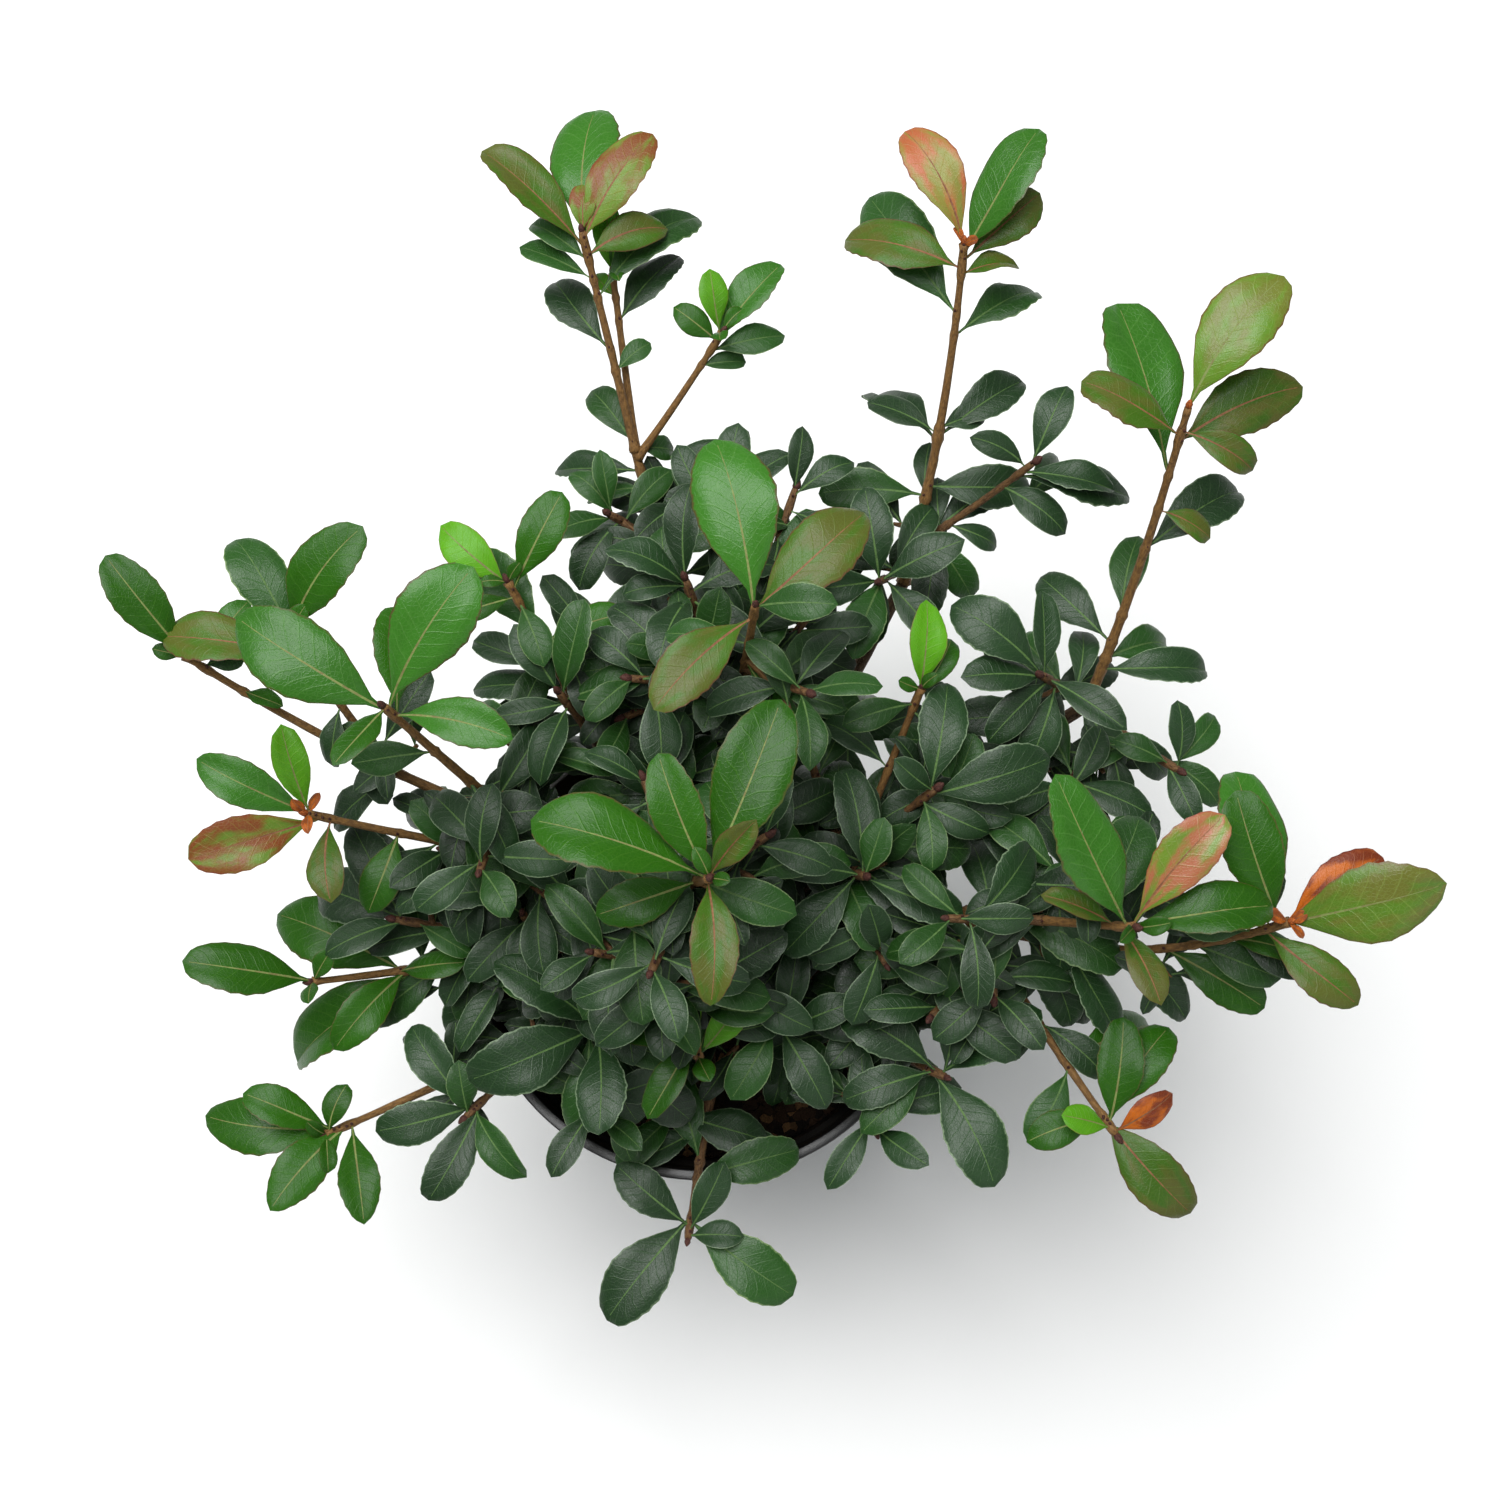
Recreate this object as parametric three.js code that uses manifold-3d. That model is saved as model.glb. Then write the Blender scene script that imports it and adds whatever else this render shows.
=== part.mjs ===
// A young Indian hawthorn in a round nursery pot, in millimetres, +Z up.
// The origin is the middle of the pot's flat underside, and +Y is the side the shrub leans to.
// Each spray of leaves is one solid: twigs with a leaf at every bud, grown by one rule.
import * as THREE from "three";
import { mergeVertices } from "three/addons/utils/BufferGeometryUtils.js";
import Module from "manifold-3d";

const wasm = await Module();
wasm.setup();

// Driving dimensions of the pot
const POT_HEIGHT = 215;
const POT_TOP_RADIUS = 115;
const POT_FOOT_RADIUS = 90;
const POT_WALL = 2.4;
const POT_FLOOR = 2.5;
const BAND_HEIGHT = 27;
const BAND_STEP = 3;
const LIP_HEIGHT = 6;
const LIP_OUT = 2.5;
const LIP_ROUND = 1.5;
const POT_SEGMENTS = 40;
const SLOT_COUNT = 8;
const SLOT_WIDTH = 11;
const SLOT_HEIGHT = 5;
const SLOT_DEPTH = 14;

// The potting mix fills the pot to three fingers under the rim
const SOIL_TOP = 170;
const SOIL_FALL = 4;
const SOIL_CROWN_RADIUS = 20;
const SEAT_GAP = 0.3;

// The short trunk: a flat cut on the soil, a slight lean, and a flare at the foot
const TRUNK_FOOT = [0, 0, SOIL_TOP + SEAT_GAP];
const TRUNK_MIDDLE = [-2, 8, 198];
const TRUNK_FORK = [4, 14, 228];
const TRUNK_FOOT_RADIUS = 10;
const TRUNK_FORK_RADIUS = 7.5;
const TRUNK_FLARE = 4;
const TRUNK_FLARE_FADE = 0.16;
const TRUNK_SIDES = 10;
const TRUNK_STEPS = 7;
const BOUGH_SIDES = 6;
const SPRAY_SIDES = 3;

// Twigs and leaves
const LEADER_RADIUS = 2.6;
const SIDE_RADIUS = 2.0;
const TWIG_RADIUS = 1.7;
const TIP_RADIUS = 1.5;
const BOUGH_STEPS = [28, 3, 6];
const SPRAY_STEPS = [34, 2, 4];
const LEAF_THICKNESS = 1.0;
const LEAF_SLENDER = 60;
const FULL_LEAF = 50;
const SMALL_LEAF = 30;
const STALK_OUT = 0.5;
const STALK_HALF = 0.6;
const CLEARANCE = 0.4;
const STEM_GAP = 0.1;
const LEAF_GAP = 0.2;
const HULL_SWELL = 1.16;
const GOLDEN_TURN = 137.5;

// The outline of a leaf by shares of its length: its stalk, and the powers that shape the blade
const STALK_SHARE = 0.08;
const STALK_WIDTH = 0.06;
const WIDEST_POWER = 1.16;
const FULLNESS = { base: 0.92, tip: 0.62 };
const MIDDLE_SHARE = 0.48;
const FULL_CORNERS = [0.44, 0.8];
const PLAIN_CORNER = 0.58;
const PLAIN_WIDENING = 1.08;
const BLADE_START = 0.3;

// How leaves stand, in degrees: each has a first value, its fall down the stem, and its draw
const FAN_PITCH = { first: 46, fall: 24, draw: 14 };
const STEM_PITCH = { first: 30, fall: 30, draw: 16 };
const TWIG_PITCH = { first: 42, fall: 34, draw: 16 };
const CURL = { young: 24, old: 30, draw: 34 };
const FOLD = { least: 12, draw: 24 };
const ROLL_DRAW = 44;
const LEAF_WIDTH = { small: 0.54, least: 0.41, draw: 0.06 };
const OLD_LEAVES_FROM = 0.45;
const STEM_START = 0.04;
const STEM_DRAWS = 20;

// Fans of leaves take up the last millimetres of a stem, and plain twigs part of the first shoot
const FAN_DEPTH = { first: 1.5, spread: 9 };
const TWIG_DEPTH = { first: 1.5, spread: 11 };
const TWIG_FROM = { first: 0.16, spread: 0.5, slots: 3 };
const TWIG_REACH = { least: 34, draw: 16 };
const TWIG_RISE = { least: 10, draw: 22 };
const TWIG_SAG = 4;
const TWIG_LEAF = { least: 40, draw: 9, inner: 0.72 };
const TWIG_LEAVES = 5;
const TWIG_FIRST_LEAF = 40;
const TWIG_GAP = 1;

// Leaves near the pot keep this far above its rim, outside its wall, inside it, and off the soil
const POT_CLEAR = { above: 2.5, outside: 8, inside: 9, soil: 2.5 };

// Boughs: where each one springs from, its tip, how far its middle sags, and its two radii
const BOUGHS = [
  { name: "bough_back", from: "trunk", share: 0.97,
    tip: [98, 168, 272], sag: -38, butt: 5, end: 3 },
  { name: "bough_left", from: "trunk", share: 0.86,
    tip: [-60, 28, 274], sag: -18, butt: 5.2, end: 3.8 },
  { name: "bough_right", from: "trunk", share: 0.8,
    tip: [122, 2, 286], sag: -34, butt: 5, end: 3.4 },
  { name: "bough_back_left", from: "trunk", share: 0.6,
    tip: [-20, 180, 274], sag: -34, butt: 5, end: 3 },
  { name: "bough_back_right", from: "trunk", share: 0.46,
    tip: [182, 102, 286], sag: -40, butt: 5.2, end: 3.2 },
  { name: "bough_front_left", from: "trunk", share: 0.62,
    tip: [-64, -42, 238], sag: -10, butt: 4.4, end: 3.2 },
  { name: "bough_left_low", from: "trunk", share: 0.36,
    tip: [-72, -8, 250], sag: -18, butt: 4.2, end: 3 },
  { name: "bough_front", from: "trunk", share: 0.26,
    tip: [4, -72, 226], sag: -12, butt: 4, end: 2.8 },
  { name: "bough_front_right", from: "trunk", share: 0.42,
    tip: [62, -42, 248], sag: -16, butt: 4.2, end: 3 },
  { name: "bough_left_outer", from: "bough_left", share: 0.98,
    tip: [-82, 40, 306], sag: 4, butt: 3.6, end: 3 },
  { name: "bough_left_back", from: "bough_left", share: 0.4,
    tip: [-42, 74, 288], sag: -6, butt: 3.6, end: 2.8 },
  { name: "bough_back_inner", from: "bough_back", share: 0.22,
    tip: [16, 94, 294], sag: 4, butt: 3.8, end: 2.9 },
  { name: "bough_right_inner", from: "bough_right", share: 0.28,
    tip: [58, 24, 286], sag: 6, butt: 3.6, end: 2.9 },
  { name: "bough_centre", from: "trunk", share: 1,
    tip: [-8, 14, 300], sag: 6, butt: 4.4, end: 3.2 },
];

// Sprays: the bough that carries each one, its number of plain twigs, and its shoots.
// A shoot has a tip, a bow that moves the middle of its stem, and, on a side shoot, the share
// of the first shoot where it forks off. Its fan is the leaves round the tip, topmost first,
// each a bearing in degrees and a length. Its stem leaves also have their share down the stem.
const SPRAYS = [
  {
    name: "spray_back_left",
    bough: "bough_back_left",
    twigs: 0,
    shoots: [
      {
        age: "young", tip: [-53, 297, 378], bow: [0, 0, -14],
        fan: [[90, 24], [56, 59], [88, 74], [140, 64], [24, 42]],
        stem: [
          [0.08, 143, 36], [0.13, 157, 38], [0.18, 47, 69], [0.33, 125, 50], [0.39, 40, 22],
          [0.62, 125, 40], [0.63, 12, 24], [0.7, 172, 46], [0.76, 186, 32], [0.82, 34, 48],
          [0.95, 150, 44],
        ],
      },
      {
        age: "young", fork: 0.36, tip: [-41, 291, 351], bow: [0, 0, -4],
        fan: [[88, 37], [135, 18]],
        stem: [[0.26, 53, 48]],
      },
      {
        age: "young", fork: 0.34, tip: [10, 261, 351], bow: [0, 0, -4],
        fan: [[99, 31], [147, 26], [50, 50], [16, 38]],
        stem: [[0.25, 6, 22]],
      },
      {
        age: "old", fork: 0.06, tip: [-44, 190, 306], bow: [0, 0, -2],
        fan: [[100, 32], [136, 32], [204, 38], [240, 42], [50, 36]],
        stem: [[0.5, 206, 36]],
      },
      {
        age: "old", fork: 0.06, tip: [12, 190, 314], bow: [0, 0, -2],
        fan: [[80, 42], [34, 44], [345, 38], [120, 38], [290, 42]],
        stem: [[0.5, 20, 42]],
      },
    ],
  },
  {
    name: "spray_back",
    bough: "bough_back",
    twigs: 0,
    shoots: [
      {
        age: "young", tip: [117, 281, 394], bow: [8, 0, -12],
        fan: [[118, 61], [58, 64], [40, 47], [157, 59]],
        stem: [
          [0.08, 8, 28], [0.18, 121, 76], [0.24, 35, 52], [0.5, 26, 26], [0.53, 37, 54],
          [0.52, 152, 38], [0.54, 128, 58], [0.68, 3, 54], [0.71, 178, 52], [0.72, 84, 30],
          [0.95, 60, 40],
        ],
      },
      {
        age: "old", fork: 0.12, tip: [153, 202, 338], bow: [0, 0, -6],
        fan: [[66, 42], [160, 32], [345, 46], [353, 58]],
        stem: [[0.25, 322, 40], [0.7, 344, 30], [0.76, 120, 30], [0.85, 310, 40]],
      },
      {
        age: "old", fork: 0.05, tip: [82, 150, 322], bow: [0, 0, 0],
        fan: [[100, 46], [20, 44], [190, 46], [250, 46], [310, 42]],
        stem: [[0.5, 60, 42], [0.7, 160, 42]],
      },
    ],
  },
  {
    name: "spray_back_right",
    bough: "bough_back_right",
    twigs: 0,
    shoots: [
      {
        age: "young", tip: [206, 194, 412], bow: [6, 0, -16],
        fan: [[53, 69], [334, 38]],
        stem: [
          [0.08, 152, 50], [0.1, 24, 60], [0.2, 104, 82], [0.3, 335, 28], [0.43, 34, 60],
          [0.66, 75, 44], [0.76, 130, 50], [0.82, 20, 44], [0.86, 2, 54], [0.96, 240, 40],
        ],
      },
    ],
  },
  {
    name: "spray_centre_right",
    bough: "bough_back_right",
    twigs: 0,
    shoots: [
      {
        age: "old", tip: [152, 100, 338], bow: [0, 0, 2],
        fan: [[146, 56], [92, 40], [186, 44], [320, 44], [225, 42]],
        stem: [[0.3, 250, 44], [0.5, 120, 40], [0.7, 60, 40], [0.75, 300, 42]],
      },
    ],
  },
  {
    name: "spray_right_back",
    bough: "bough_back_right",
    twigs: 1,
    shoots: [
      {
        age: "old", tip: [216, 62, 316], bow: [0, 0, -8],
        fan: [[90, 32], [48, 33], [160, 30], [290, 34], [322, 36]],
        stem: [[0.4, 200, 36], [0.7, 320, 40]],
      },
    ],
  },
  {
    name: "spray_crown",
    bough: "bough_back_inner",
    twigs: 3,
    shoots: [
      {
        age: "young", tip: [25, 108, 408], bow: [0, 0, -8],
        fan: [[353, 38], [43, 66], [103, 78], [225, 58]],
        stem: [[0.3, 170, 38], [0.45, 300, 48], [0.6, 70, 46], [0.75, 200, 46], [0.9, 20, 44]],
      },
    ],
  },
  {
    name: "spray_back_inner",
    bough: "bough_back_inner",
    twigs: 2,
    shoots: [
      {
        age: "old", tip: [-6, 142, 346], bow: [0, 0, -8],
        fan: [[88, 46], [190, 32], [159, 46], [20, 46], [250, 48], [310, 44]],
        stem: [[0.4, 130, 44], [0.7, 350, 46]],
      },
      {
        age: "old", fork: 0.2, tip: [44, 196, 322], bow: [0, 0, -4],
        fan: [[80, 32], [30, 36], [150, 38], [330, 38]],
        stem: [[0.4, 60, 38], [0.7, 200, 40]],
      },
    ],
  },
  {
    name: "spray_left_back",
    bough: "bough_left_back",
    twigs: 2,
    shoots: [
      {
        age: "old", tip: [-62, 92, 338], bow: [0, 0, -2],
        fan: [[125, 38], [73, 48], [13, 40], [194, 34], [252, 44]],
        stem: [[0.5, 330, 42]],
      },
      {
        age: "young", fork: 0.25, tip: [-84, 138, 354], bow: [0, 0, -6],
        fan: [[141, 42], [60, 50], [200, 30], [300, 34]],
        stem: [[0.34, 127, 54], [0.36, 20, 42], [0.5, 160, 42], [0.62, 178, 46], [0.7, 200, 44]],
      },
    ],
  },
  {
    name: "spray_left_upper",
    bough: "bough_left_outer",
    twigs: 1,
    shoots: [
      {
        age: "young", tip: [-123, 63, 415], bow: [0, 0, -4],
        fan: [[240, 36], [54, 70], [150, 75], [346, 52], [92, 48]],
        stem: [[0.35, 190, 36], [0.6, 300, 42], [0.8, 60, 44]],
      },
    ],
  },
  {
    name: "spray_far_left",
    bough: "bough_left_outer",
    twigs: 1,
    shoots: [
      {
        age: "young", tip: [-220, 100, 366], bow: [0, -6, -24],
        fan: [[129, 55], [62, 36]],
        stem: [
          [0.05, 6, 20], [0.16, 340, 20], [0.5, 300, 26], [0.62, 215, 42], [0.84, 190, 42],
          [0.9, 40, 38],
        ],
      },
      {
        age: "young", fork: 0.42, tip: [-172, 105, 380], bow: [0, 0, -6],
        fan: [[48, 60], [120, 57], [173, 62]],
        stem: [[0.5, 260, 30]],
      },
    ],
  },
  {
    name: "spray_left",
    bough: "bough_left",
    twigs: 2,
    shoots: [
      {
        age: "young", tip: [-170, 37, 338], bow: [0, 0, -14],
        fan: [[105, 43], [158, 58], [203, 61], [275, 40]],
        stem: [[0.32, 250, 40], [0.48, 222, 44], [0.7, 237, 42], [0.6, 130, 38]],
      },
    ],
  },
  {
    name: "spray_left_inner",
    bough: "bough_left_low",
    twigs: 2,
    shoots: [
      {
        age: "old", tip: [-80, 0, 298], bow: [0, 0, 0],
        fan: [[157, 28], [328, 34], [265, 26], [227, 40], [60, 36]],
        stem: [],
      },
      {
        age: "old", fork: 0.2, tip: [-138, -2, 294], bow: [0, 0, -4],
        fan: [[60, 36], [120, 52], [203, 42], [158, 58], [330, 30]],
        stem: [[0.4, 190, 44], [0.6, 240, 40]],
      },
    ],
  },
  {
    name: "spray_left_low",
    bough: "bough_left_low",
    twigs: 1,
    shoots: [
      {
        age: "young", tip: [-176, -29, 284], bow: [0, 0, -12],
        fan: [[174, 61]],
        stem: [
          [0.34, 4, 38], [0.36, 156, 72], [0.38, 232, 50], [0.42, 212, 80], [0.44, 100, 44],
          [0.55, 215, 50], [0.7, 250, 44], [0.75, 120, 44],
        ],
      },
    ],
  },
  {
    name: "spray_front_left",
    bough: "bough_front_left",
    twigs: 0,
    shoots: [
      {
        age: "young", tip: [-171, -96, 262], bow: [0, 0, -14],
        fan: [[70, 25], [157, 46], [175, 66], [232, 51]],
        stem: [[0.1, 285, 50], [0.8, 180, 40]],
      },
    ],
  },
  {
    name: "spray_front_corner",
    bough: "bough_front_left",
    twigs: 0,
    shoots: [
      {
        age: "old", tip: [-107, -88, 264], bow: [0, 0, 4],
        fan: [[98, 28], [127, 51], [307, 43], [196, 49], [243, 51]],
        stem: [[0.6, 340, 42], [0.8, 300, 40]],
      },
    ],
  },
  {
    name: "spray_front_inner",
    bough: "bough_front_left",
    twigs: 2,
    shoots: [
      {
        age: "old", tip: [-45, -50, 280], bow: [0, 0, -2],
        fan: [[50, 32], [148, 60], [274, 54], [205, 66], [340, 44]],
        stem: [[0.35, 264, 52], [0.5, 292, 56], [0.7, 310, 44]],
      },
    ],
  },
  {
    name: "spray_front",
    bough: "bough_front",
    twigs: 0,
    shoots: [
      {
        age: "old", tip: [-6, -142, 238], bow: [0, 0, -6],
        fan: [[0, 28], [62, 38], [141, 46], [325, 60], [230, 62]],
        stem: [[0.4, 15, 52], [0.5, 110, 50], [0.75, 205, 44], [0.8, 335, 42]],
      },
    ],
  },
  {
    name: "spray_front_right",
    bough: "bough_front_right",
    twigs: 1,
    shoots: [
      {
        age: "old", tip: [110, -72, 288], bow: [0, 0, -10],
        fan: [[83, 46], [33, 56], [149, 54], [198, 46], [297, 60], [223, 44]],
        stem: [[0.6, 320, 46], [0.8, 190, 46]],
      },
    ],
  },
  {
    name: "spray_right",
    bough: "bough_right",
    twigs: 3,
    shoots: [
      {
        age: "young", tip: [178, -20, 380], bow: [0, 0, -2],
        fan: [[50, 60], [118, 71], [8, 64], [291, 38], [157, 34]],
        stem: [[0.25, 62, 56], [0.5, 200, 42], [0.75, 334, 58], [0.85, 100, 42], [0.9, 290, 46]],
      },
    ],
  },
  {
    name: "spray_far_right",
    bough: "bough_right",
    twigs: 1,
    shoots: [
      {
        age: "young", tip: [244, -16, 370], bow: [0, -24, -26],
        fan: [[33, 50], [112, 61], [9, 71], [98, 70], [318, 50]],
        stem: [
          [0.1, 173, 32], [0.18, 346, 34], [0.26, 338, 40], [0.36, 329, 52], [0.5, 60, 38],
          [0.52, 318, 48], [0.66, 300, 50], [0.8, 280, 48],
        ],
      },
    ],
  },
  {
    name: "spray_right_low",
    bough: "bough_right",
    twigs: 1,
    shoots: [
      {
        age: "young", tip: [182, -98, 302], bow: [0, 0, -8],
        fan: [[31, 32], [168, 26], [82, 48], [55, 52], [197, 37], [312, 60]],
        stem: [[0.3, 240, 40], [0.34, 22, 54], [0.5, 320, 40], [0.66, 40, 46], [0.8, 170, 42]],
      },
    ],
  },
  {
    name: "spray_right_inner",
    bough: "bough_right_inner",
    twigs: 2,
    shoots: [
      {
        age: "old", tip: [73, 10, 334], bow: [0, 0, -2],
        fan: [[71, 28], [99, 50], [178, 38], [339, 50], [226, 50]],
        stem: [[0.6, 290, 46]],
      },
    ],
  },
  {
    name: "spray_middle",
    bough: "bough_right_inner",
    twigs: 3,
    shoots: [
      {
        age: "old", tip: [104, 48, 338], bow: [0, 0, -8],
        fan: [[150, 26], [80, 54], [15, 60], [275, 34], [335, 36]],
        stem: [[0.6, 210, 42]],
      },
      {
        age: "young", fork: 0.3, tip: [98, 92, 344], bow: [0, 0, -4],
        fan: [[85, 42], [60, 34], [200, 36], [300, 36]],
        stem: [[0.5, 140, 40]],
      },
    ],
  },
  {
    name: "spray_centre",
    bough: "bough_centre",
    twigs: 3,
    shoots: [
      {
        age: "young", tip: [7, -5, 408], bow: [0, 0, -6],
        fan: [[45, 34], [113, 54], [67, 78], [163, 76], [272, 52]],
        stem: [[0.3, 340, 44], [0.4, 200, 46], [0.6, 60, 48], [0.75, 300, 48], [0.9, 150, 48]],
      },
    ],
  },
  {
    name: "spray_centre_front",
    bough: "bough_centre",
    twigs: 3,
    shoots: [
      {
        age: "young", tip: [0, -64, 294], bow: [0, 0, 24],
        fan: [[51, 38], [115, 46], [175, 38], [240, 44]],
        stem: [[0.3, 350, 40]],
      },
      {
        age: "old", fork: 0.35, tip: [40, -52, 280], bow: [0, 0, 12],
        fan: [[20, 40], [80, 40], [300, 46], [240, 42], [160, 34]],
        stem: [[0.5, 330, 40]],
      },
    ],
  },
];

// Leaf tries: turns and lifts, in degrees, for a leaf that would touch another spray
const TRIES = [
  [0, 0], [0, 9], [0, -9], [8, 0], [-8, 0], [0, 18], [0, -18], [8, 14], [-8, 14],
  [8, -14], [-8, -14], [18, 0], [-18, 0], [0, 30], [20, 16], [-20, 16], [30, 0], [-30, 0],
];
const TWIG_TURNS = [0, 30, -30, 60, -60, 90, -90];

const UP = new THREE.Vector3(0, 0, 1);
const EAST = new THREE.Vector3(1, 0, 0);

const rad = (degrees) => (degrees * Math.PI) / 180;
const vec = (xyz) => new THREE.Vector3(...xyz);

// A fixed number from 0 to 1 for three whole numbers, so that every leaf keeps its own draw
function noise(i, j, k) {
  let h = Math.imul(i + 11, 374761393) ^ Math.imul(j + 7, 668265263) ^ Math.imul(k + 3, 2246822519);
  h = Math.imul(h ^ (h >>> 13), 1274126177);
  h ^= h >>> 16;
  h = Math.imul(h, 2654435761);
  return ((h ^ (h >>> 15)) >>> 0) / 4294967296;
}

// Adds several scaled vectors to a point
function offset(point, ...terms) {
  const out = point.clone();
  for (const [direction, amount] of terms) {
    out.addScaledVector(direction, amount);
  }
  return out;
}

// One limb: a stretch of wood on a three-point curve, straight between its steps
class Limb {
  constructor(name, start, middle, tip, butt, end, spray) {
    this.name = name;
    this.points = [start, middle, tip];
    this.butt = butt;
    this.end = end;
    this.spray = spray;
    this.sides = spray ? SPRAY_SIDES : BOUGH_SIDES;
    this.length = start.distanceTo(tip);
    const [step, least, most] = spray ? SPRAY_STEPS : BOUGH_STEPS;
    this.steps = Math.max(least, Math.min(most, Math.round(this.length / step)));
    this.flare = 0;
  }

  curve(t) {
    const [a, b, c] = this.points;
    return offset(new THREE.Vector3(), [a, (1 - t) * (1 - t)], [b, 2 * t * (1 - t)], [c, t * t]);
  }

  direction(t) {
    const [a, b, c] = this.points;
    const out = b.clone().sub(a).multiplyScalar(1 - t);
    return out.addScaledVector(c.clone().sub(b), t).normalize();
  }

  at(t) {
    const place = Math.min(this.steps - 1e-9, Math.max(0, t * this.steps));
    const step = Math.floor(place);
    const low = this.curve(step / this.steps);
    return low.lerp(this.curve((step + 1) / this.steps), place - step);
  }

  radius(t) {
    const flare = this.flare * Math.exp(-t / TRUNK_FLARE_FADE);
    return this.butt + (this.end - this.butt) * t + flare;
  }

  // Rings of points round the limb, carried along without twist, the ends stretched if asked
  rings(sides, scale, extra = 0, stretch = [0, 0]) {
    const out = [];
    const chord = this.direction(0);
    let across = new THREE.Vector3().crossVectors(Math.abs(chord.z) > 0.7 ? EAST : UP, chord).normalize();
    for (let i = 0; i <= this.steps; i += 1) {
      const t = i / this.steps;
      const along = this.direction(t);
      across = offset(across, [along, -across.dot(along)]).normalize();
      const aside = new THREE.Vector3().crossVectors(along, across);
      let centre = this.curve(t);
      if (i === 0) centre = offset(centre, [along, -stretch[0]]);
      if (i === this.steps) centre = offset(centre, [along, stretch[1]]);
      const r = this.radius(t) * scale + extra;
      const ring = [];
      for (let k = 0; k < sides; k += 1) {
        const turn = (2 * Math.PI * k) / sides;
        ring.push(offset(centre, [across, r * Math.cos(turn)], [aside, r * Math.sin(turn)]));
      }
      out.push(ring);
    }
    return out;
  }
}

// Half the blade's width at a share s of the leaf: a thin stalk, a wedge base, widest past the middle
function profile(s) {
  if (s < STALK_SHARE) return STALK_WIDTH;
  const x = Math.min(1, (s - STALK_SHARE) / (1 - STALK_SHARE));
  const fullness = FULLNESS.base + (FULLNESS.tip - FULLNESS.base) * x;
  return Math.max(STALK_WIDTH, Math.sin(Math.PI * x ** WIDEST_POWER) ** fullness);
}

// One leaf: it leaves its twig at a pitch, curls downward, and folds up along its midrib
class Leaf {
  constructor(base, bearing, pitch, roll, length, width, curl, fold) {
    Object.assign(this, { base, bearing, pitch, roll, length, width, curl, fold });
  }

  turned(turn, lift) {
    const { base, bearing, pitch, roll, length, width, curl, fold } = this;
    return new Leaf(base, bearing + turn, pitch + lift, roll, length, width, curl, fold);
  }

  // Centre, direction, side and upper normal at a share s of the length
  frame(s) {
    const ahead = new THREE.Vector3(Math.cos(this.bearing), Math.sin(this.bearing), 0);
    const side = new THREE.Vector3(-Math.sin(this.bearing), Math.cos(this.bearing), 0);
    const angle = this.pitch - this.curl * s;
    const bend = this.length / this.curl;
    const centre = offset(
      this.base,
      [ahead, bend * (Math.sin(this.pitch) - Math.sin(angle))],
      [UP, bend * (Math.cos(angle) - Math.cos(this.pitch))],
    );
    const along = offset(new THREE.Vector3(), [ahead, Math.cos(angle)], [UP, Math.sin(angle)]);
    const top = offset(new THREE.Vector3(), [ahead, -Math.sin(angle)], [UP, Math.cos(angle)]);
    const across = offset(new THREE.Vector3(), [side, Math.cos(this.roll)], [top, Math.sin(this.roll)]);
    const normal = offset(new THREE.Vector3(), [top, Math.cos(this.roll)], [side, -Math.sin(this.roll)]);
    return { centre, along, across, normal };
  }

  halfThickness() {
    return 0.5 * Math.max(LEAF_THICKNESS, this.length / LEAF_SLENDER);
  }

  edge(s, t) {
    const { centre, across, normal } = this.frame(s);
    const w = 0.5 * this.width * profile(s) * t;
    return offset(centre, [across, w * Math.cos(this.fold)], [normal, Math.abs(w) * Math.sin(this.fold)]);
  }

  // Two points of the stalk inside the twig, the outline's corners, the middle's two faces, the tip
  points() {
    const foot = this.frame(0);
    const middle = this.frame(MIDDLE_SHARE);
    const half = this.halfThickness();
    const [shares, reach] = this.length >= FULL_LEAF ? [FULL_CORNERS, 1] : [[PLAIN_CORNER], PLAIN_WIDENING];
    const corners = [reach, -reach].flatMap((t) => shares.map((s) => this.edge(s, t)));
    return [
      offset(foot.centre, [foot.along, STALK_OUT], [foot.normal, STALK_HALF]),
      offset(foot.centre, [foot.along, STALK_OUT], [foot.normal, -STALK_HALF]),
      ...corners,
      offset(middle.centre, [middle.normal, half]),
      offset(middle.centre, [middle.normal, -half]),
      this.frame(1).centre,
    ];
  }

  // The blade without its stalk, for the test against leaves of the same spray
  bladePoints() {
    const { centre, normal } = this.frame(0.4);
    const half = this.halfThickness();
    return [
      this.edge(BLADE_START, 0.8),
      this.edge(BLADE_START, -0.8),
      this.edge(PLAIN_CORNER, 1),
      this.edge(PLAIN_CORNER, -1),
      offset(centre, [normal, half]),
      offset(centre, [normal, -half]),
      this.frame(1).centre,
    ];
  }

  hull() {
    const { along, across, normal } = this.frame(0.5);
    const axes = [normal, across, along];
    for (const [low, high, amount] of [[normal, across, 0.3], [normal, along, 0.25], [across, along, 0.4]]) {
      axes.push(offset(low, [high, amount]), offset(low, [high, -amount]));
    }
    return new Hull(this.points(), [along, across, normal], axes);
  }

  blade() {
    const { along, across, normal } = this.frame(0.6);
    const axes = [normal, across, along];
    for (const [high, amount] of [[across, 0.3], [along, 0.25]]) {
      axes.push(offset(normal, [high, amount]), offset(normal, [high, -amount]));
    }
    return new Hull(this.bladePoints(), [along, across, normal], axes);
  }
}

// The points of a convex shape, with the axes that the separation test tries
class Hull {
  constructor(points, frame, axes) {
    this.points = points;
    this.frame = frame;
    this.axes = axes;
    this.centre = new THREE.Box3().setFromPoints(points).getCenter(new THREE.Vector3());
    this.reach = Math.max(...points.map((p) => p.distanceTo(this.centre)));
  }
}

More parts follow.
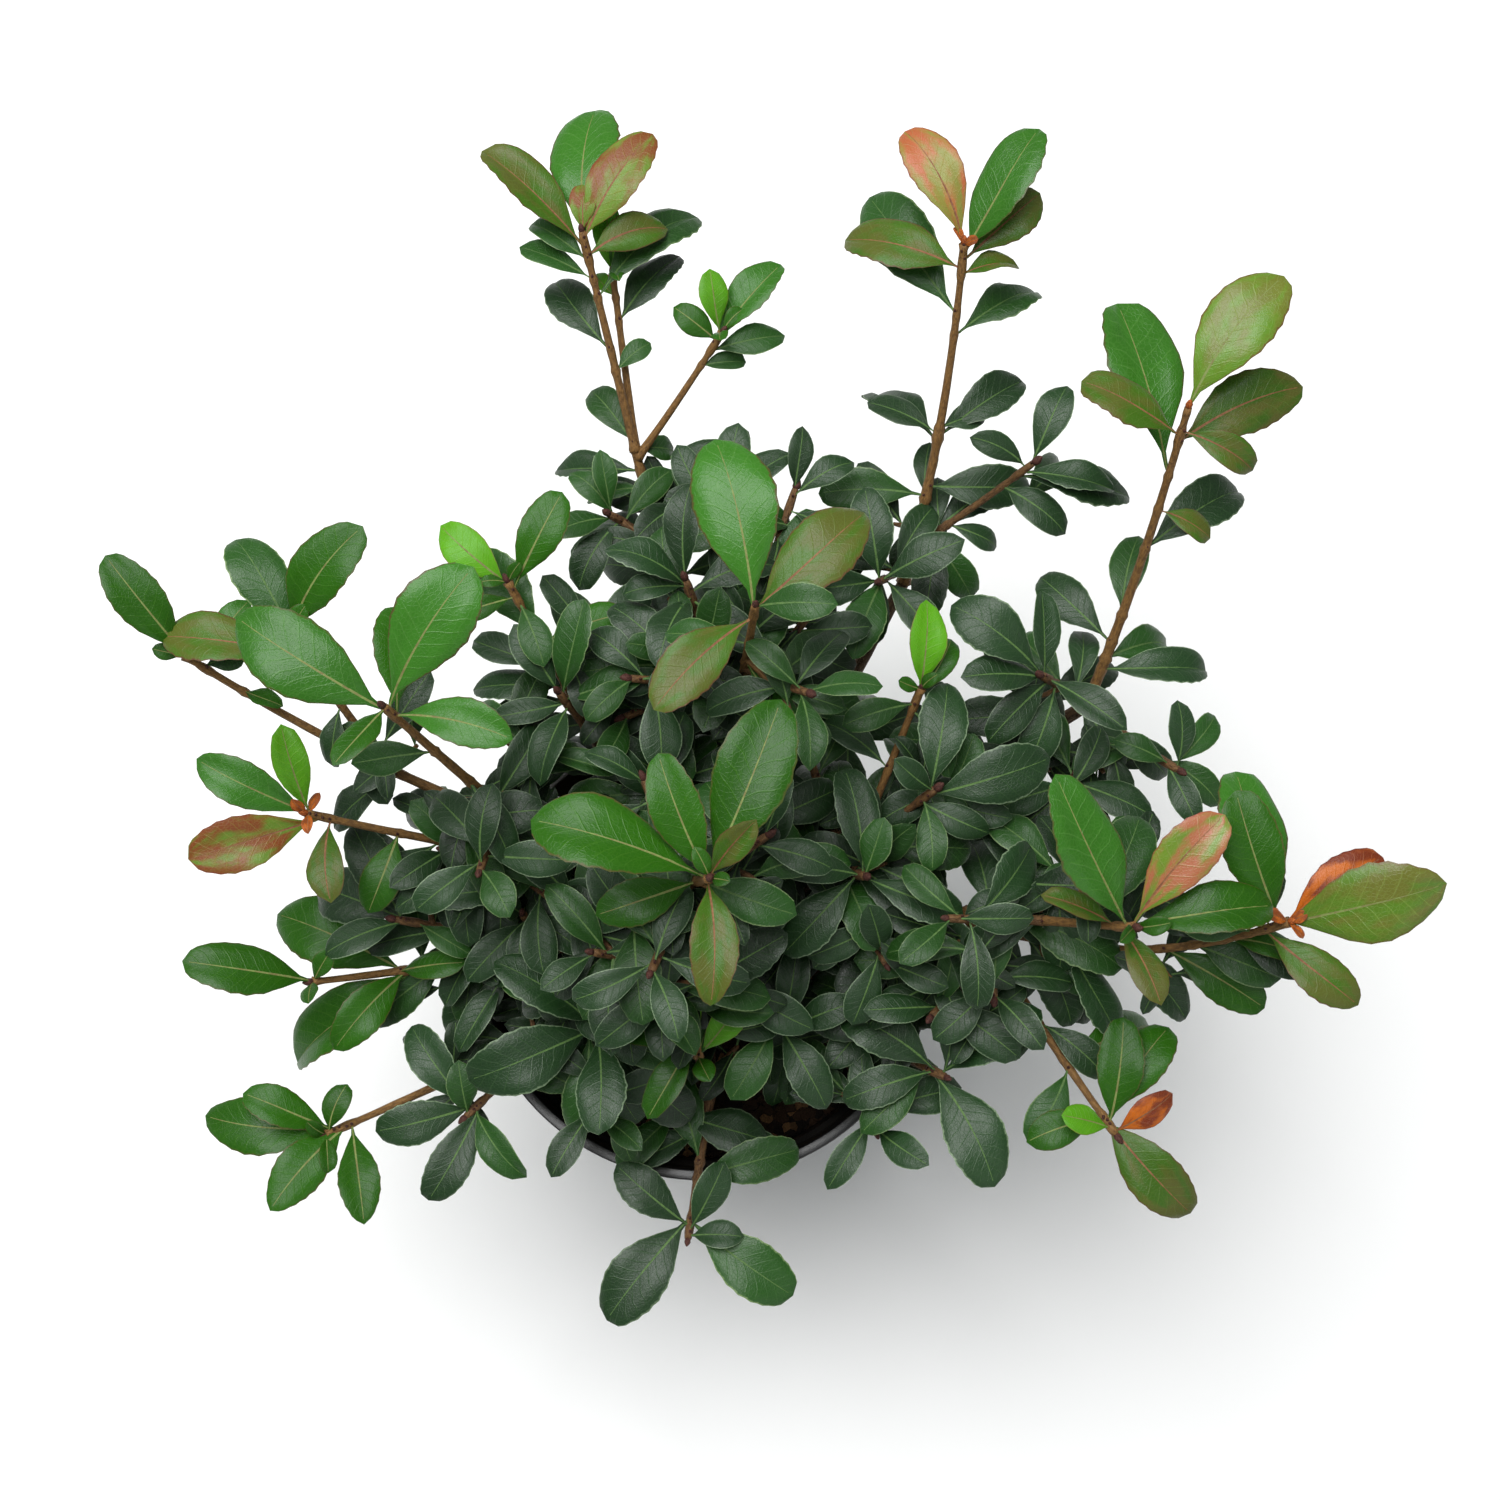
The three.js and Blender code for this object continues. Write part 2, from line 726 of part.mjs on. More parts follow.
// The widest gap between two hulls along one axis
function gapAlong(axis, a, b) {
  let lowA = Infinity;
  let highA = -Infinity;
  let lowB = Infinity;
  let highB = -Infinity;
  for (const p of a.points) {
    const d = p.dot(axis);
    lowA = Math.min(lowA, d);
    highA = Math.max(highA, d);
  }
  for (const p of b.points) {
    const d = p.dot(axis);
    lowB = Math.min(lowB, d);
    highB = Math.max(highB, d);
  }
  return Math.max(lowB - highA, lowA - highB);
}

function clear(a, b, gap) {
  const between = b.centre.clone().sub(a.centre);
  if (between.length() > a.reach + b.reach + gap) return true;
  const axes = [...a.axes, ...b.axes, between];
  for (const u of a.frame) {
    for (const v of b.frame) {
      axes.push(new THREE.Vector3().crossVectors(u, v));
    }
  }
  return axes.some((axis) => {
    const size = axis.length();
    return size > 1e-3 && gapAlong(axis.clone().divideScalar(size), a, b) >= gap;
  });
}

function limbHulls(limb) {
  const rings = limb.rings(BOUGH_SIDES, HULL_SWELL);
  const out = [];
  for (let i = 0; i < limb.steps; i += 1) {
    const along = limb.curve((i + 1) / limb.steps).sub(limb.curve(i / limb.steps)).normalize();
    const x = new THREE.Vector3().crossVectors(Math.abs(along.z) > 0.7 ? EAST : UP, along).normalize();
    const y = new THREE.Vector3().crossVectors(along, x);
    const axes = [x, y, offset(x, [y, 1]), offset(x, [y, -1])];
    out.push({ spray: limb.spray, hull: new Hull([...rings[i], ...rings[i + 1]], [along, x, y], axes) });
  }
  return out;
}

// A leaf near the pot stays wholly above the rim, outside the wall, or inside over the soil
function clearOfPot(points) {
  const lowest = Math.min(...points.map((p) => p.z));
  const reach = points.map((p) => Math.hypot(p.x, p.y));
  const outside = Math.min(...reach) > POT_TOP_RADIUS + POT_CLEAR.outside;
  const inside = Math.max(...reach) < POT_TOP_RADIUS - POT_CLEAR.inside;
  const offSoil = lowest > SOIL_TOP + POT_CLEAR.soil;
  return lowest > POT_HEIGHT + POT_CLEAR.above || outside || (inside && offSoil);
}

const clamp = (x) => Math.min(1, Math.max(0, x));

// The nearest points of two straight stretches: their distance and the share along each
function stretchGap(a0, a1, b0, b1) {
  const d1 = a1.clone().sub(a0);
  const d2 = b1.clone().sub(b0);
  const r = a0.clone().sub(b0);
  const a = d1.dot(d1);
  const e = d2.dot(d2);
  const f = d2.dot(r);
  const c = d1.dot(r);
  const b = d1.dot(d2);
  const spread = a * e - b * b;
  let s = spread > 1e-9 ? clamp((b * f - c * e) / spread) : 0;
  let t = (b * s + f) / e;
  if (t < 0) {
    t = 0;
    s = clamp(-c / a);
  } else if (t > 1) {
    t = 1;
    s = clamp((b - c) / a);
  }
  return [offset(a0, [d1, s]).distanceTo(offset(b0, [d2, t])), s, t];
}

function limbGap(a, b) {
  let least = Infinity;
  for (let i = 0; i < a.steps; i += 1) {
    for (let j = 0; j < b.steps; j += 1) {
      const ends = [a.curve(i / a.steps), a.curve((i + 1) / a.steps)];
      const others = [b.curve(j / b.steps), b.curve((j + 1) / b.steps)];
      const [distance, s, t] = stretchGap(...ends, ...others);
      const wood = a.radius((i + s) / a.steps) + b.radius((j + t) / b.steps);
      least = Math.min(least, distance - wood);
    }
  }
  return least;
}

// The wood: trunk, boughs, then each spray's shoots and plain twigs
function middleOf(start, tip, bow) {
  return start.clone().add(tip).multiplyScalar(0.5).add(bow);
}

function growTrunk() {
  const foot = vec(TRUNK_FOOT);
  const fork = vec(TRUNK_FORK);
  const middle = vec(TRUNK_MIDDLE).multiplyScalar(2).sub(middleOf(foot, fork, new THREE.Vector3()));
  const trunk = new Limb("trunk", foot, middle, fork, TRUNK_FOOT_RADIUS, TRUNK_FORK_RADIUS, null);
  trunk.flare = TRUNK_FLARE;
  trunk.sides = TRUNK_SIDES;
  trunk.steps = TRUNK_STEPS;
  return trunk;
}

function growBoughs(limbs) {
  for (const row of BOUGHS) {
    const start = limbs.get(row.from).at(row.share);
    const tip = vec(row.tip);
    const middle = middleOf(start, tip, new THREE.Vector3(0, 0, row.sag));
    limbs.set(row.name, new Limb(row.name, start, middle, tip, row.butt, row.end, null));
  }
}

// A plain twig leaves the first shoot at a drawn bearing, and turns away from other sprays
function growTwig(limbs, spray, index, leader, number) {
  const seed = index * 10 + 5 + number;
  const start = leader.at(TWIG_FROM.first + (TWIG_FROM.spread * number) / TWIG_FROM.slots);
  const reach = TWIG_REACH.least + TWIG_REACH.draw * noise(seed, 0, 32);
  const rise = TWIG_RISE.least + TWIG_RISE.draw * noise(seed, 0, 33);
  for (const turn of TWIG_TURNS) {
    const bearing = 360 * noise(index, 0, 31) + GOLDEN_TURN * number + turn;
    const tip = offset(start, [EAST, Math.cos(rad(bearing)) * reach], [UP, rise]);
    tip.y += Math.sin(rad(bearing)) * reach;
    const middle = middleOf(start, tip, new THREE.Vector3(0, 0, -TWIG_SAG));
    const name = `${spray.name}_twig_${number}`;
    const limb = new Limb(name, start, middle, tip, TWIG_RADIUS, TIP_RADIUS, spray.name);
    const others = [...limbs.values()].filter((other) => other.spray !== spray.name);
    if (others.every((other) => limbGap(limb, other) > TWIG_GAP)) {
      limbs.set(name, limb);
      return { spray: spray.name, limb, seed, phase: bearing + TWIG_FIRST_LEAF };
    }
  }
  return null;
}

function growSpray(limbs, spray, index) {
  const plan = [];
  let leader = null;
  spray.shoots.forEach((row, number) => {
    const start = leader ? leader.at(row.fork) : limbs.get(spray.bough).at(1);
    const tip = vec(row.tip);
    const name = `${spray.name}_shoot_${number}`;
    const butt = leader ? SIDE_RADIUS : LEADER_RADIUS;
    const limb = new Limb(name, start, middleOf(start, tip, vec(row.bow)), tip, butt, TIP_RADIUS, spray.name);
    limbs.set(name, limb);
    leader ??= limb;
    plan.push({ spray: spray.name, limb, seed: index * 10 + number, row });
  });
  for (let number = 0; number < spray.twigs; number += 1) {
    const twig = growTwig(limbs, spray, index, leader, number);
    if (twig) plan.push(twig);
  }
  return plan;
}

const pitchOf = ({ first, fall, draw }, share, chance) => first - fall * share + draw * (chance - 0.5);

// The leaves wanted on one stem, in the order in which they are placed
function wantedLeaves({ limb, seed, row, phase }) {
  const out = [];
  const add = (draw, base, bearing, pitch, length, young) => {
    const broad = LEAF_WIDTH.least + LEAF_WIDTH.draw * noise(seed, draw, 4);
    const width = length * (length < SMALL_LEAF ? LEAF_WIDTH.small : broad);
    const roll = rad(ROLL_DRAW * (noise(seed, draw, 5) - 0.5));
    const curl = rad((young ? CURL.young : CURL.old) + CURL.draw * noise(seed, draw, 2));
    const fold = rad(FOLD.least + FOLD.draw * noise(seed, draw, 6) ** 2);
    out.push(new Leaf(base, rad(bearing), rad(pitch), roll, length, width, curl, fold));
  };
  if (row) {
    const young = row.age === "young";
    row.fan.forEach(([bearing, length], j) => {
      const share = j / Math.max(1, row.fan.length - 1);
      const depth = FAN_DEPTH.first + FAN_DEPTH.spread * share;
      const pitch = pitchOf(FAN_PITCH, share, noise(seed, j, 1));
      add(j, limb.at(1 - depth / limb.length), bearing, pitch, length, young);
    });
    row.stem.forEach(([down, bearing, length], j) => {
      const base = limb.at(Math.max(STEM_START, 1 - down));
      const pitch = pitchOf(STEM_PITCH, down, noise(seed, j, 11));
      add(STEM_DRAWS + j, base, bearing, pitch, length, young && down <= OLD_LEAVES_FROM);
    });
    return out;
  }
  for (let j = 0; j < TWIG_LEAVES; j += 1) {
    const share = j / (TWIG_LEAVES - 1);
    const grown = TWIG_LEAF.inner + (1 - TWIG_LEAF.inner) * share;
    const length = grown * (TWIG_LEAF.least + TWIG_LEAF.draw * noise(seed, j, 34));
    const depth = TWIG_DEPTH.first + TWIG_DEPTH.spread * share;
    const pitch = pitchOf(TWIG_PITCH, share, noise(seed, j, 1));
    add(j, limb.at(1 - depth / limb.length), phase + GOLDEN_TURN * j, pitch, length, false);
  }
  return out;
}

// Tries a leaf in a few positions: clear of other sprays and wood, and if it can of its own leaves
function settleLeaf(leaf, spray, wood, placed) {
  let fallback = null;
  for (const [turn, lift] of TRIES) {
    const trial = leaf.turned(rad(turn), rad(lift));
    if (!clearOfPot(trial.points())) continue;
    const hull = trial.hull();
    if (wood.some((part) => part.spray !== spray && !clear(hull, part.hull, CLEARANCE))) continue;
    if (placed.some((other) => other.spray !== spray && !clear(hull, other.hull, CLEARANCE))) continue;
    const blade = trial.blade();
    const found = { spray, leaf: trial, hull, blade };
    const offStems = wood.every((part) => part.spray !== spray || clear(blade, part.hull, STEM_GAP));
    const offLeaves = placed.every((other) => other.spray !== spray || clear(blade, other.blade, LEAF_GAP));
    if (offStems && offLeaves) return found;
    fallback ??= found;
  }
  return fallback;
}

function placeLeaves(plan, limbs) {
  const wood = [...limbs.values()].flatMap(limbHulls);
  const placed = [];
  for (const stem of plan) {
    for (const leaf of wantedLeaves(stem)) {
      const found = settleLeaf(leaf, stem.spray, wood, placed);
      if (found) placed.push(found);
    }
  }
  return placed;
}

// Solids
function solidFrom(points, faces) {
  const mesh = new wasm.Mesh({
    numProp: 3,
    vertProperties: new Float32Array(points.flatMap((p) => [p.x, p.y, p.z])),
    triVerts: new Uint32Array(faces.flat()),
  });
  return new wasm.Manifold(mesh);
}

function limbSolid(limb, extra = 0, stretch = [0, 0]) {
  const sides = limb.sides;
  const rings = limb.rings(sides, 1, extra, stretch);
  const faces = [];
  for (let i = 0; i < limb.steps; i += 1) {
    for (let k = 0; k < sides; k += 1) {
      const next = (k + 1) % sides;
      const low = i * sides;
      const high = low + sides;
      faces.push([low + k, low + next, high + next], [low + k, high + next, high + k]);
    }
  }
  const last = limb.steps * sides;
  for (let k = 1; k < sides - 1; k += 1) {
    faces.push([0, k + 1, k], [last, last + k, last + k + 1]);
  }
  return solidFrom(rings.flat(), faces);
}

// The faces of a leaf solid: a stalk that widens to the corners of each side, then on to the tip
function leafSolid(leaf) {
  const points = leaf.points();
  const half = (points.length - 5) / 2;
  const [top, bottom, tip] = [2 + 2 * half, 3 + 2 * half, 4 + 2 * half];
  const side = (first) => [...Array.from({ length: half }, (_, k) => first + k), tip];
  const [left, right] = [side(2), side(2 + half)];
  const faces = [
    [0, left[0], 1], [0, top, left[0]], [1, left[0], bottom],
    [0, 1, right[0]], [0, right[0], top], [1, bottom, right[0]],
  ];
  for (let k = 0; k < half; k += 1) {
    faces.push([left[k + 1], left[k], top], [left[k], left[k + 1], bottom]);
    faces.push([right[k], right[k + 1], top], [right[k + 1], right[k], bottom]);
  }
  return solidFrom(points, faces);
}

// The largest piece of a solid: loose scraps and sealed hollows are dropped
function largest(solid) {
  return solid.decompose().reduce((best, piece) => (piece.volume() > best.volume() ? piece : best));
}

// A limb swollen so far that its flat sides stand one seat gap out
function swollen(limb) {
  const extra = (1.05 * SEAT_GAP) / Math.cos(Math.PI / limb.sides);
  return limbSolid(limb, extra, [SEAT_GAP, SEAT_GAP]);
}

// Wood that meets older wood is cut one seat gap clear of it
function cutFromOlder(solid, stems, older) {
  let out = solid;
  for (const other of older) {
    if (stems.some((limb) => limbGap(limb, other) < 2 * SEAT_GAP)) out = out.subtract(swollen(other));
  }
  return largest(out);
}

function geometryOf(solid) {
  const mesh = solid.getMesh();
  const geometry = new THREE.BufferGeometry();
  geometry.setAttribute("position", new THREE.BufferAttribute(new Float32Array(mesh.vertProperties), 3));
  geometry.setIndex([...mesh.triVerts]);
  geometry.computeVertexNormals();
  return geometry;
}

function manifoldOf(geometry) {
  geometry.deleteAttribute("normal");
  geometry.deleteAttribute("uv");
  const merged = mergeVertices(geometry, 1e-3);
  const faces = [];
  for (let i = 0; i < merged.index.count; i += 3) {
    const face = [merged.index.getX(i), merged.index.getX(i + 1), merged.index.getX(i + 2)];
    if (new Set(face).size === 3) faces.push(face);
  }
  const position = merged.attributes.position;
  const point = (_, i) => new THREE.Vector3().fromBufferAttribute(position, i);
  return solidFrom(Array.from({ length: position.count }, point), faces);
}

// A turned shape about +Z from its half section, listed up the outside and back down the inside
function turned(section) {
  const points = section.map(([r, z]) => new THREE.Vector2(r, z));
  const geometry = new THREE.LatheGeometry(points, POT_SEGMENTS);
  geometry.rotateX(Math.PI / 2);
  return manifoldOf(geometry);
}

// The outside radius of the plain wall, below the band
function wallRadius(z) {
  const widening = POT_TOP_RADIUS - LIP_OUT - BAND_STEP - POT_FOOT_RADIUS;
  return POT_FOOT_RADIUS + (widening * z) / POT_HEIGHT;
}

function potSolid() {
  const band = POT_HEIGHT - BAND_HEIGHT;
  const lip = POT_HEIGHT - LIP_HEIGHT;
  const bandInner = wallRadius(POT_HEIGHT) + BAND_STEP - POT_WALL;
  const body = turned([
    [0, 0],
    [POT_FOOT_RADIUS, 0],
    [wallRadius(band), band],
    [wallRadius(band) + BAND_STEP, band + BAND_STEP],
    [wallRadius(lip) + BAND_STEP, lip],
    [POT_TOP_RADIUS, lip + 1],
    [POT_TOP_RADIUS, POT_HEIGHT - LIP_ROUND],
    [POT_TOP_RADIUS - LIP_ROUND, POT_HEIGHT],
    [bandInner, POT_HEIGHT],
    [wallRadius(band) + BAND_STEP - POT_WALL, band + BAND_STEP],
    [wallRadius(band) - POT_WALL, band],
    [wallRadius(POT_FLOOR) - POT_WALL, POT_FLOOR],
    [0, POT_FLOOR],
  ]);
  const slots = Array.from({ length: SLOT_COUNT }, (_, k) => drainSlot(k));
  return slots.reduce((pot, slot) => pot.subtract(slot), body);
}

// The trunk's foot runs on below the soil and is cut off flat just above it
function trunkSolid(trunk) {
  const ground = SOIL_TOP + SEAT_GAP;
  const below = new THREE.BoxGeometry(POT_FOOT_RADIUS, POT_FOOT_RADIUS, SOIL_TOP);
  below.translate(0, 0, ground - SOIL_TOP / 2);
  return largest(limbSolid(trunk, 0, [TRUNK_FLARE, 0]).subtract(manifoldOf(below)));
}

// A drain slot at the heel of the pot, open at the side and below
function drainSlot(k) {
  const box = new THREE.BoxGeometry(SLOT_DEPTH, SLOT_WIDTH, 2 * SLOT_HEIGHT);
  box.translate(POT_FOOT_RADIUS, 0, 0);
  box.rotateZ((2 * Math.PI * (k + 0.5)) / SLOT_COUNT);
  return manifoldOf(box);
}

function soilSolid() {
  const floor = POT_FLOOR + SEAT_GAP;
  const inner = (z) => wallRadius(z) - POT_WALL - SEAT_GAP * 1.1;
  return turned([
    [0, floor],
    [inner(floor), floor],
    [inner(SOIL_TOP - SOIL_FALL), SOIL_TOP - SOIL_FALL],
    [SOIL_CROWN_RADIUS, SOIL_TOP],
    [0, SOIL_TOP],
  ]);
}

// Colours, roughness and metalness by eye
const MATERIALS = {
  pot: { color: 0x1c1d1f, roughness: 0.42, metalness: 0 },
  soil: { color: 0x33261c, roughness: 0.95, metalness: 0 },
  bark: { color: 0x6b4a31, roughness: 0.8, metalness: 0 },
  foliage: { color: 0x3d6b3c, roughness: 0.45, metalness: 0 },
};

const hawthorn = new THREE.Group();
hawthorn.name = "potted_indian_hawthorn";

function addNode(name, solid, finish) {
  const node = new THREE.Mesh(geometryOf(solid), new THREE.MeshStandardMaterial(MATERIALS[finish]));
  node.name = name;
  hawthorn.add(node);
}

const limbs = new Map([["trunk", growTrunk()]]);
growBoughs(limbs);
const plan = SPRAYS.flatMap((spray, index) => growSpray(limbs, spray, index));
const placed = placeLeaves(plan, limbs);

addNode("pot", potSolid(), "pot");
addNode("soil", soilSolid(), "soil");
addNode("trunk", trunkSolid(limbs.get("trunk")), "bark");
const older = [limbs.get("trunk")];
for (const { name } of BOUGHS) {
  const bough = limbs.get(name);
  addNode(name, cutFromOlder(limbSolid(bough), [bough], older), "bark");
  older.push(bough);
}
for (const { name } of SPRAYS) {
  const stems = plan.filter((stem) => stem.spray === name).map((stem) => stem.limb);
  const leaves = placed.filter((part) => part.spray === name).map((part) => leafSolid(part.leaf));
  const pieces = [...stems.map((limb) => limbSolid(limb)), ...leaves];
  const whole = pieces.reduce((sum, piece) => sum.add(piece));
  addNode(name, cutFromOlder(whole, stems, older), "foliage");
  older.push(...stems);
}

export default hawthorn;
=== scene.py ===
"""A young Indian hawthorn in a round nursery pot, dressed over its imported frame.

Limbs and leaves grow by one rule, in millimetres, and become meshes in metres. The frame's origin is
the middle of the pot's flat underside, with +Z up and the photograph taken from above the -Y side.
"""

import logging
import math
from collections.abc import Callable, Iterable, Iterator, Sequence
from dataclasses import dataclass, field, replace
from enum import Enum, IntEnum

import bmesh
import bpy
import numpy as np
from bmesh.types import BMesh, BMVert
from bpy.types import Material, Mesh, Node, NodeSocket, NodeTree, Object
from mathutils import Euler, Matrix, Vector
from mathutils import noise as relief

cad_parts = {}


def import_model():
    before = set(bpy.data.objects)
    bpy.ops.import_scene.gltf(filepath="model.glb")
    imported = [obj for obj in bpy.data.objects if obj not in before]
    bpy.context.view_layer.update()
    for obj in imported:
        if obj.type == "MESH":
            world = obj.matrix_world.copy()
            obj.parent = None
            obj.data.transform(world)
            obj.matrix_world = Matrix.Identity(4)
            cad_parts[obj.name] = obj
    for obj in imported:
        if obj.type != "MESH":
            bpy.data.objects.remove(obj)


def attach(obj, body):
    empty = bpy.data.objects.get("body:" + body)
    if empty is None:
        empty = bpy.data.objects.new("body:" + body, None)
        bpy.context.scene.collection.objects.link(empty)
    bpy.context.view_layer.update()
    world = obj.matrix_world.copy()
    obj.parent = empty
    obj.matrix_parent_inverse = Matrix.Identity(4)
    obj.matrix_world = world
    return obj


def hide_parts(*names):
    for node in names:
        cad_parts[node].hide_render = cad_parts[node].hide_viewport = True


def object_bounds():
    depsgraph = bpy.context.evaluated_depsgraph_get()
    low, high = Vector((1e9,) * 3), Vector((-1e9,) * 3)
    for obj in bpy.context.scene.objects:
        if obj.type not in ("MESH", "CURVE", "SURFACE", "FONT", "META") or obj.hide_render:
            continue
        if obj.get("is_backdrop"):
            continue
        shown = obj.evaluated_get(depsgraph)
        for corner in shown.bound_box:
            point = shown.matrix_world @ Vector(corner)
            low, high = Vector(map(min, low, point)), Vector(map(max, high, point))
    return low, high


log = logging.getLogger("hawthorn")

Triple = tuple[float, float, float]
Pair = tuple[float, float]
Colour = tuple[float, float, float, float]
Array = np.ndarray
Given = bpy.types.bpy_prop_collection
Sockets = dict[str, NodeSocket]

MM = 0.001
BODY = "root"
GOLDEN_TURN = 137.5
FULL_TURN = 6.283
LEVEL = 1e-6
STEEP = 0.7
UP = np.array([0.0, 0.0, 1.0])
EAST = np.array([1.0, 0.0, 0.0])


@dataclass(frozen=True)
class Habit:
    """How the shrub grows: sizes in millimetres, angles in degrees, the rest shares."""

    trunk_foot: Triple = (0.0, 0.0, 170.3)
    trunk_middle: Triple = (-2.0, 8.0, 198.0)
    trunk_fork: Triple = (4.0, 14.0, 228.0)
    trunk_foot_radius: float = 10.0
    trunk_fork_radius: float = 7.5
    trunk_flare: float = 4.0
    trunk_flare_fade: float = 0.16
    trunk_steps: int = 7

    leader_radius: float = 2.6
    side_radius: float = 2.0
    twig_radius: float = 1.7
    tip_radius: float = 1.5
    bough_steps: tuple[float, int, int] = (28.0, 3, 6)
    spray_steps: tuple[float, int, int] = (34.0, 2, 4)
    leaf_thickness: float = 1.0
    leaf_slender: float = 60.0
    full_leaf: float = 50.0
    small_leaf: float = 30.0
    stalk_out: float = 0.5
    stalk_half: float = 0.6
    clearance: float = 0.4
    stem_gap: float = 0.1
    leaf_gap: float = 0.2
    hull_sides: int = 6
    hull_swell: float = 1.16

    # The outline of a leaf by shares of its length
    stalk_share: float = 0.08
    stalk_width: float = 0.06
    widest_power: float = 1.16
    base_fullness: float = 0.92
    tip_fullness: float = 0.62
    middle_share: float = 0.48
    full_corners: Pair = (0.44, 0.8)
    plain_corner: float = 0.58
    plain_widening: float = 1.08
    blade_start: float = 0.3
    blade_start_reach: float = 0.8
    blade_middle: float = 0.4
    blade_axes: float = 0.6
    hull_leans: Triple = (0.3, 0.25, 0.4)

    # Pitches are a first value, a fall down the stem and a draw
    fan_pitch: Triple = (46.0, 24.0, 14.0)
    stem_pitch: Triple = (30.0, 30.0, 16.0)
    twig_pitch: Triple = (42.0, 34.0, 16.0)
    curl_young: Pair = (24.0, 34.0)
    curl_old: Pair = (30.0, 34.0)
    fold: Pair = (12.0, 24.0)
    roll_draw: float = 44.0
    width_small: float = 0.54
    width: Pair = (0.41, 0.06)
    old_leaves_from: float = 0.45
    fresh_from: float = 0.6
    deep_from: float = 0.72
    stem_start: float = 0.04
    stem_draws: int = 20

    # Fans take up the last millimetres of a stem, and plain twigs part of the first shoot
    fan_depth: Pair = (1.5, 9.0)
    twig_depth: Pair = (1.5, 11.0)
    twig_from: tuple[float, float, int] = (0.16, 0.5, 3)
    twig_seed: int = 5
    twig_reach: Pair = (34.0, 16.0)
    twig_rise: Pair = (10.0, 22.0)
    twig_sag: float = 4.0
    twig_leaf: Triple = (40.0, 9.0, 0.72)
    twig_leaves: int = 5
    twig_first_leaf: float = 40.0
    twig_gap: float = 1.0

    # Clearances near the pot: above its rim, outside its wall, inside it, and off the soil
    pot_above: float = 2.5
    pot_outside: float = 8.0
    pot_inside: float = 9.0
    off_soil: float = 2.5

    # Finer growth: small twigs with small leaves, only where they stay inside the crown
    fine_starts: tuple[float, ...] = (0.22, 0.4, 0.58, 0.76)
    fine_seed: int = 1000
    fine_reach: Pair = (13.0, 12.0)
    fine_rise: Pair = (-4.0, 15.0)
    fine_sag: float = 1.5
    fine_depth: Pair = (1.5, 5.0)
    fine_deep_from: float = 0.7
    fine_leaves: int = 4
    fine_leaf: Pair = (33.0, 16.0)
    fine_smaller: float = 0.66
    fine_radius: float = 1.2
    fine_tip_radius: float = 0.8
    fine_gap: float = 0.1
    fine_hidden: float = 0.85
    low_seed: int = 400
    low_starts: tuple[float, ...] = (0.45, 0.6, 0.75, 0.9)
    low_leaf: Pair = (38.0, 14.0)
    low_height: float = 26.0
    low_radius: float = 104.0

    # The small unopened leaves at the tips of this year's shoots
    bud_leaf: Pair = (9.0, 4.0)
    heart_leaf: Pair = (11.0, 9.0)
    heart_pitch: Triple = (58.0, 18.0, 16.0)
    heart_seed: int = 3000
    heart_depth: float = 0.4


HABIT = Habit()


def within(habit: Pair, share: float) -> float:
    """A value from its least and its spread, at a share from 0 to 1."""
    return habit[0] + habit[1] * share


class Draw(IntEnum):
    """What a fixed number is drawn for, so that no two draws of one leaf are the same."""

    PITCH = 1
    CURL = 2
    WIDTH = 4
    ROLL = 5
    FOLD = 6
    TONE = 7
    TWIST = 8
    RIPPLE = 9
    SHADE = 10
    STEM_PITCH = 11
    SICKLE = 12
    DROOP = 13
    WIDEST = 14
    BLUNTNESS = 15
    TWIG_BEARING = 31
    TWIG_REACH = 32
    TWIG_RISE = 33
    LEAF_LENGTH = 34
    FINE_BEARING = 41
    FINE_REACH = 42
    FINE_RISE = 43
    BUD_SIZE = 51
    SIDE_BUD = 52
    CHIP = 61


# Turns and lifts, in degrees, that a leaf tries, and turns that a plain twig tries
TRIES = (
    (0, 0), (0, 9), (0, -9), (8, 0), (-8, 0), (0, 18), (0, -18), (8, 14), (-8, 14),
    (8, -14), (-8, -14), (18, 0), (-18, 0), (0, 30), (20, 16), (-20, 16), (30, 0), (-30, 0),
)
TWIG_TURNS = (0, 30, -30, 60, -60, 90, -90)


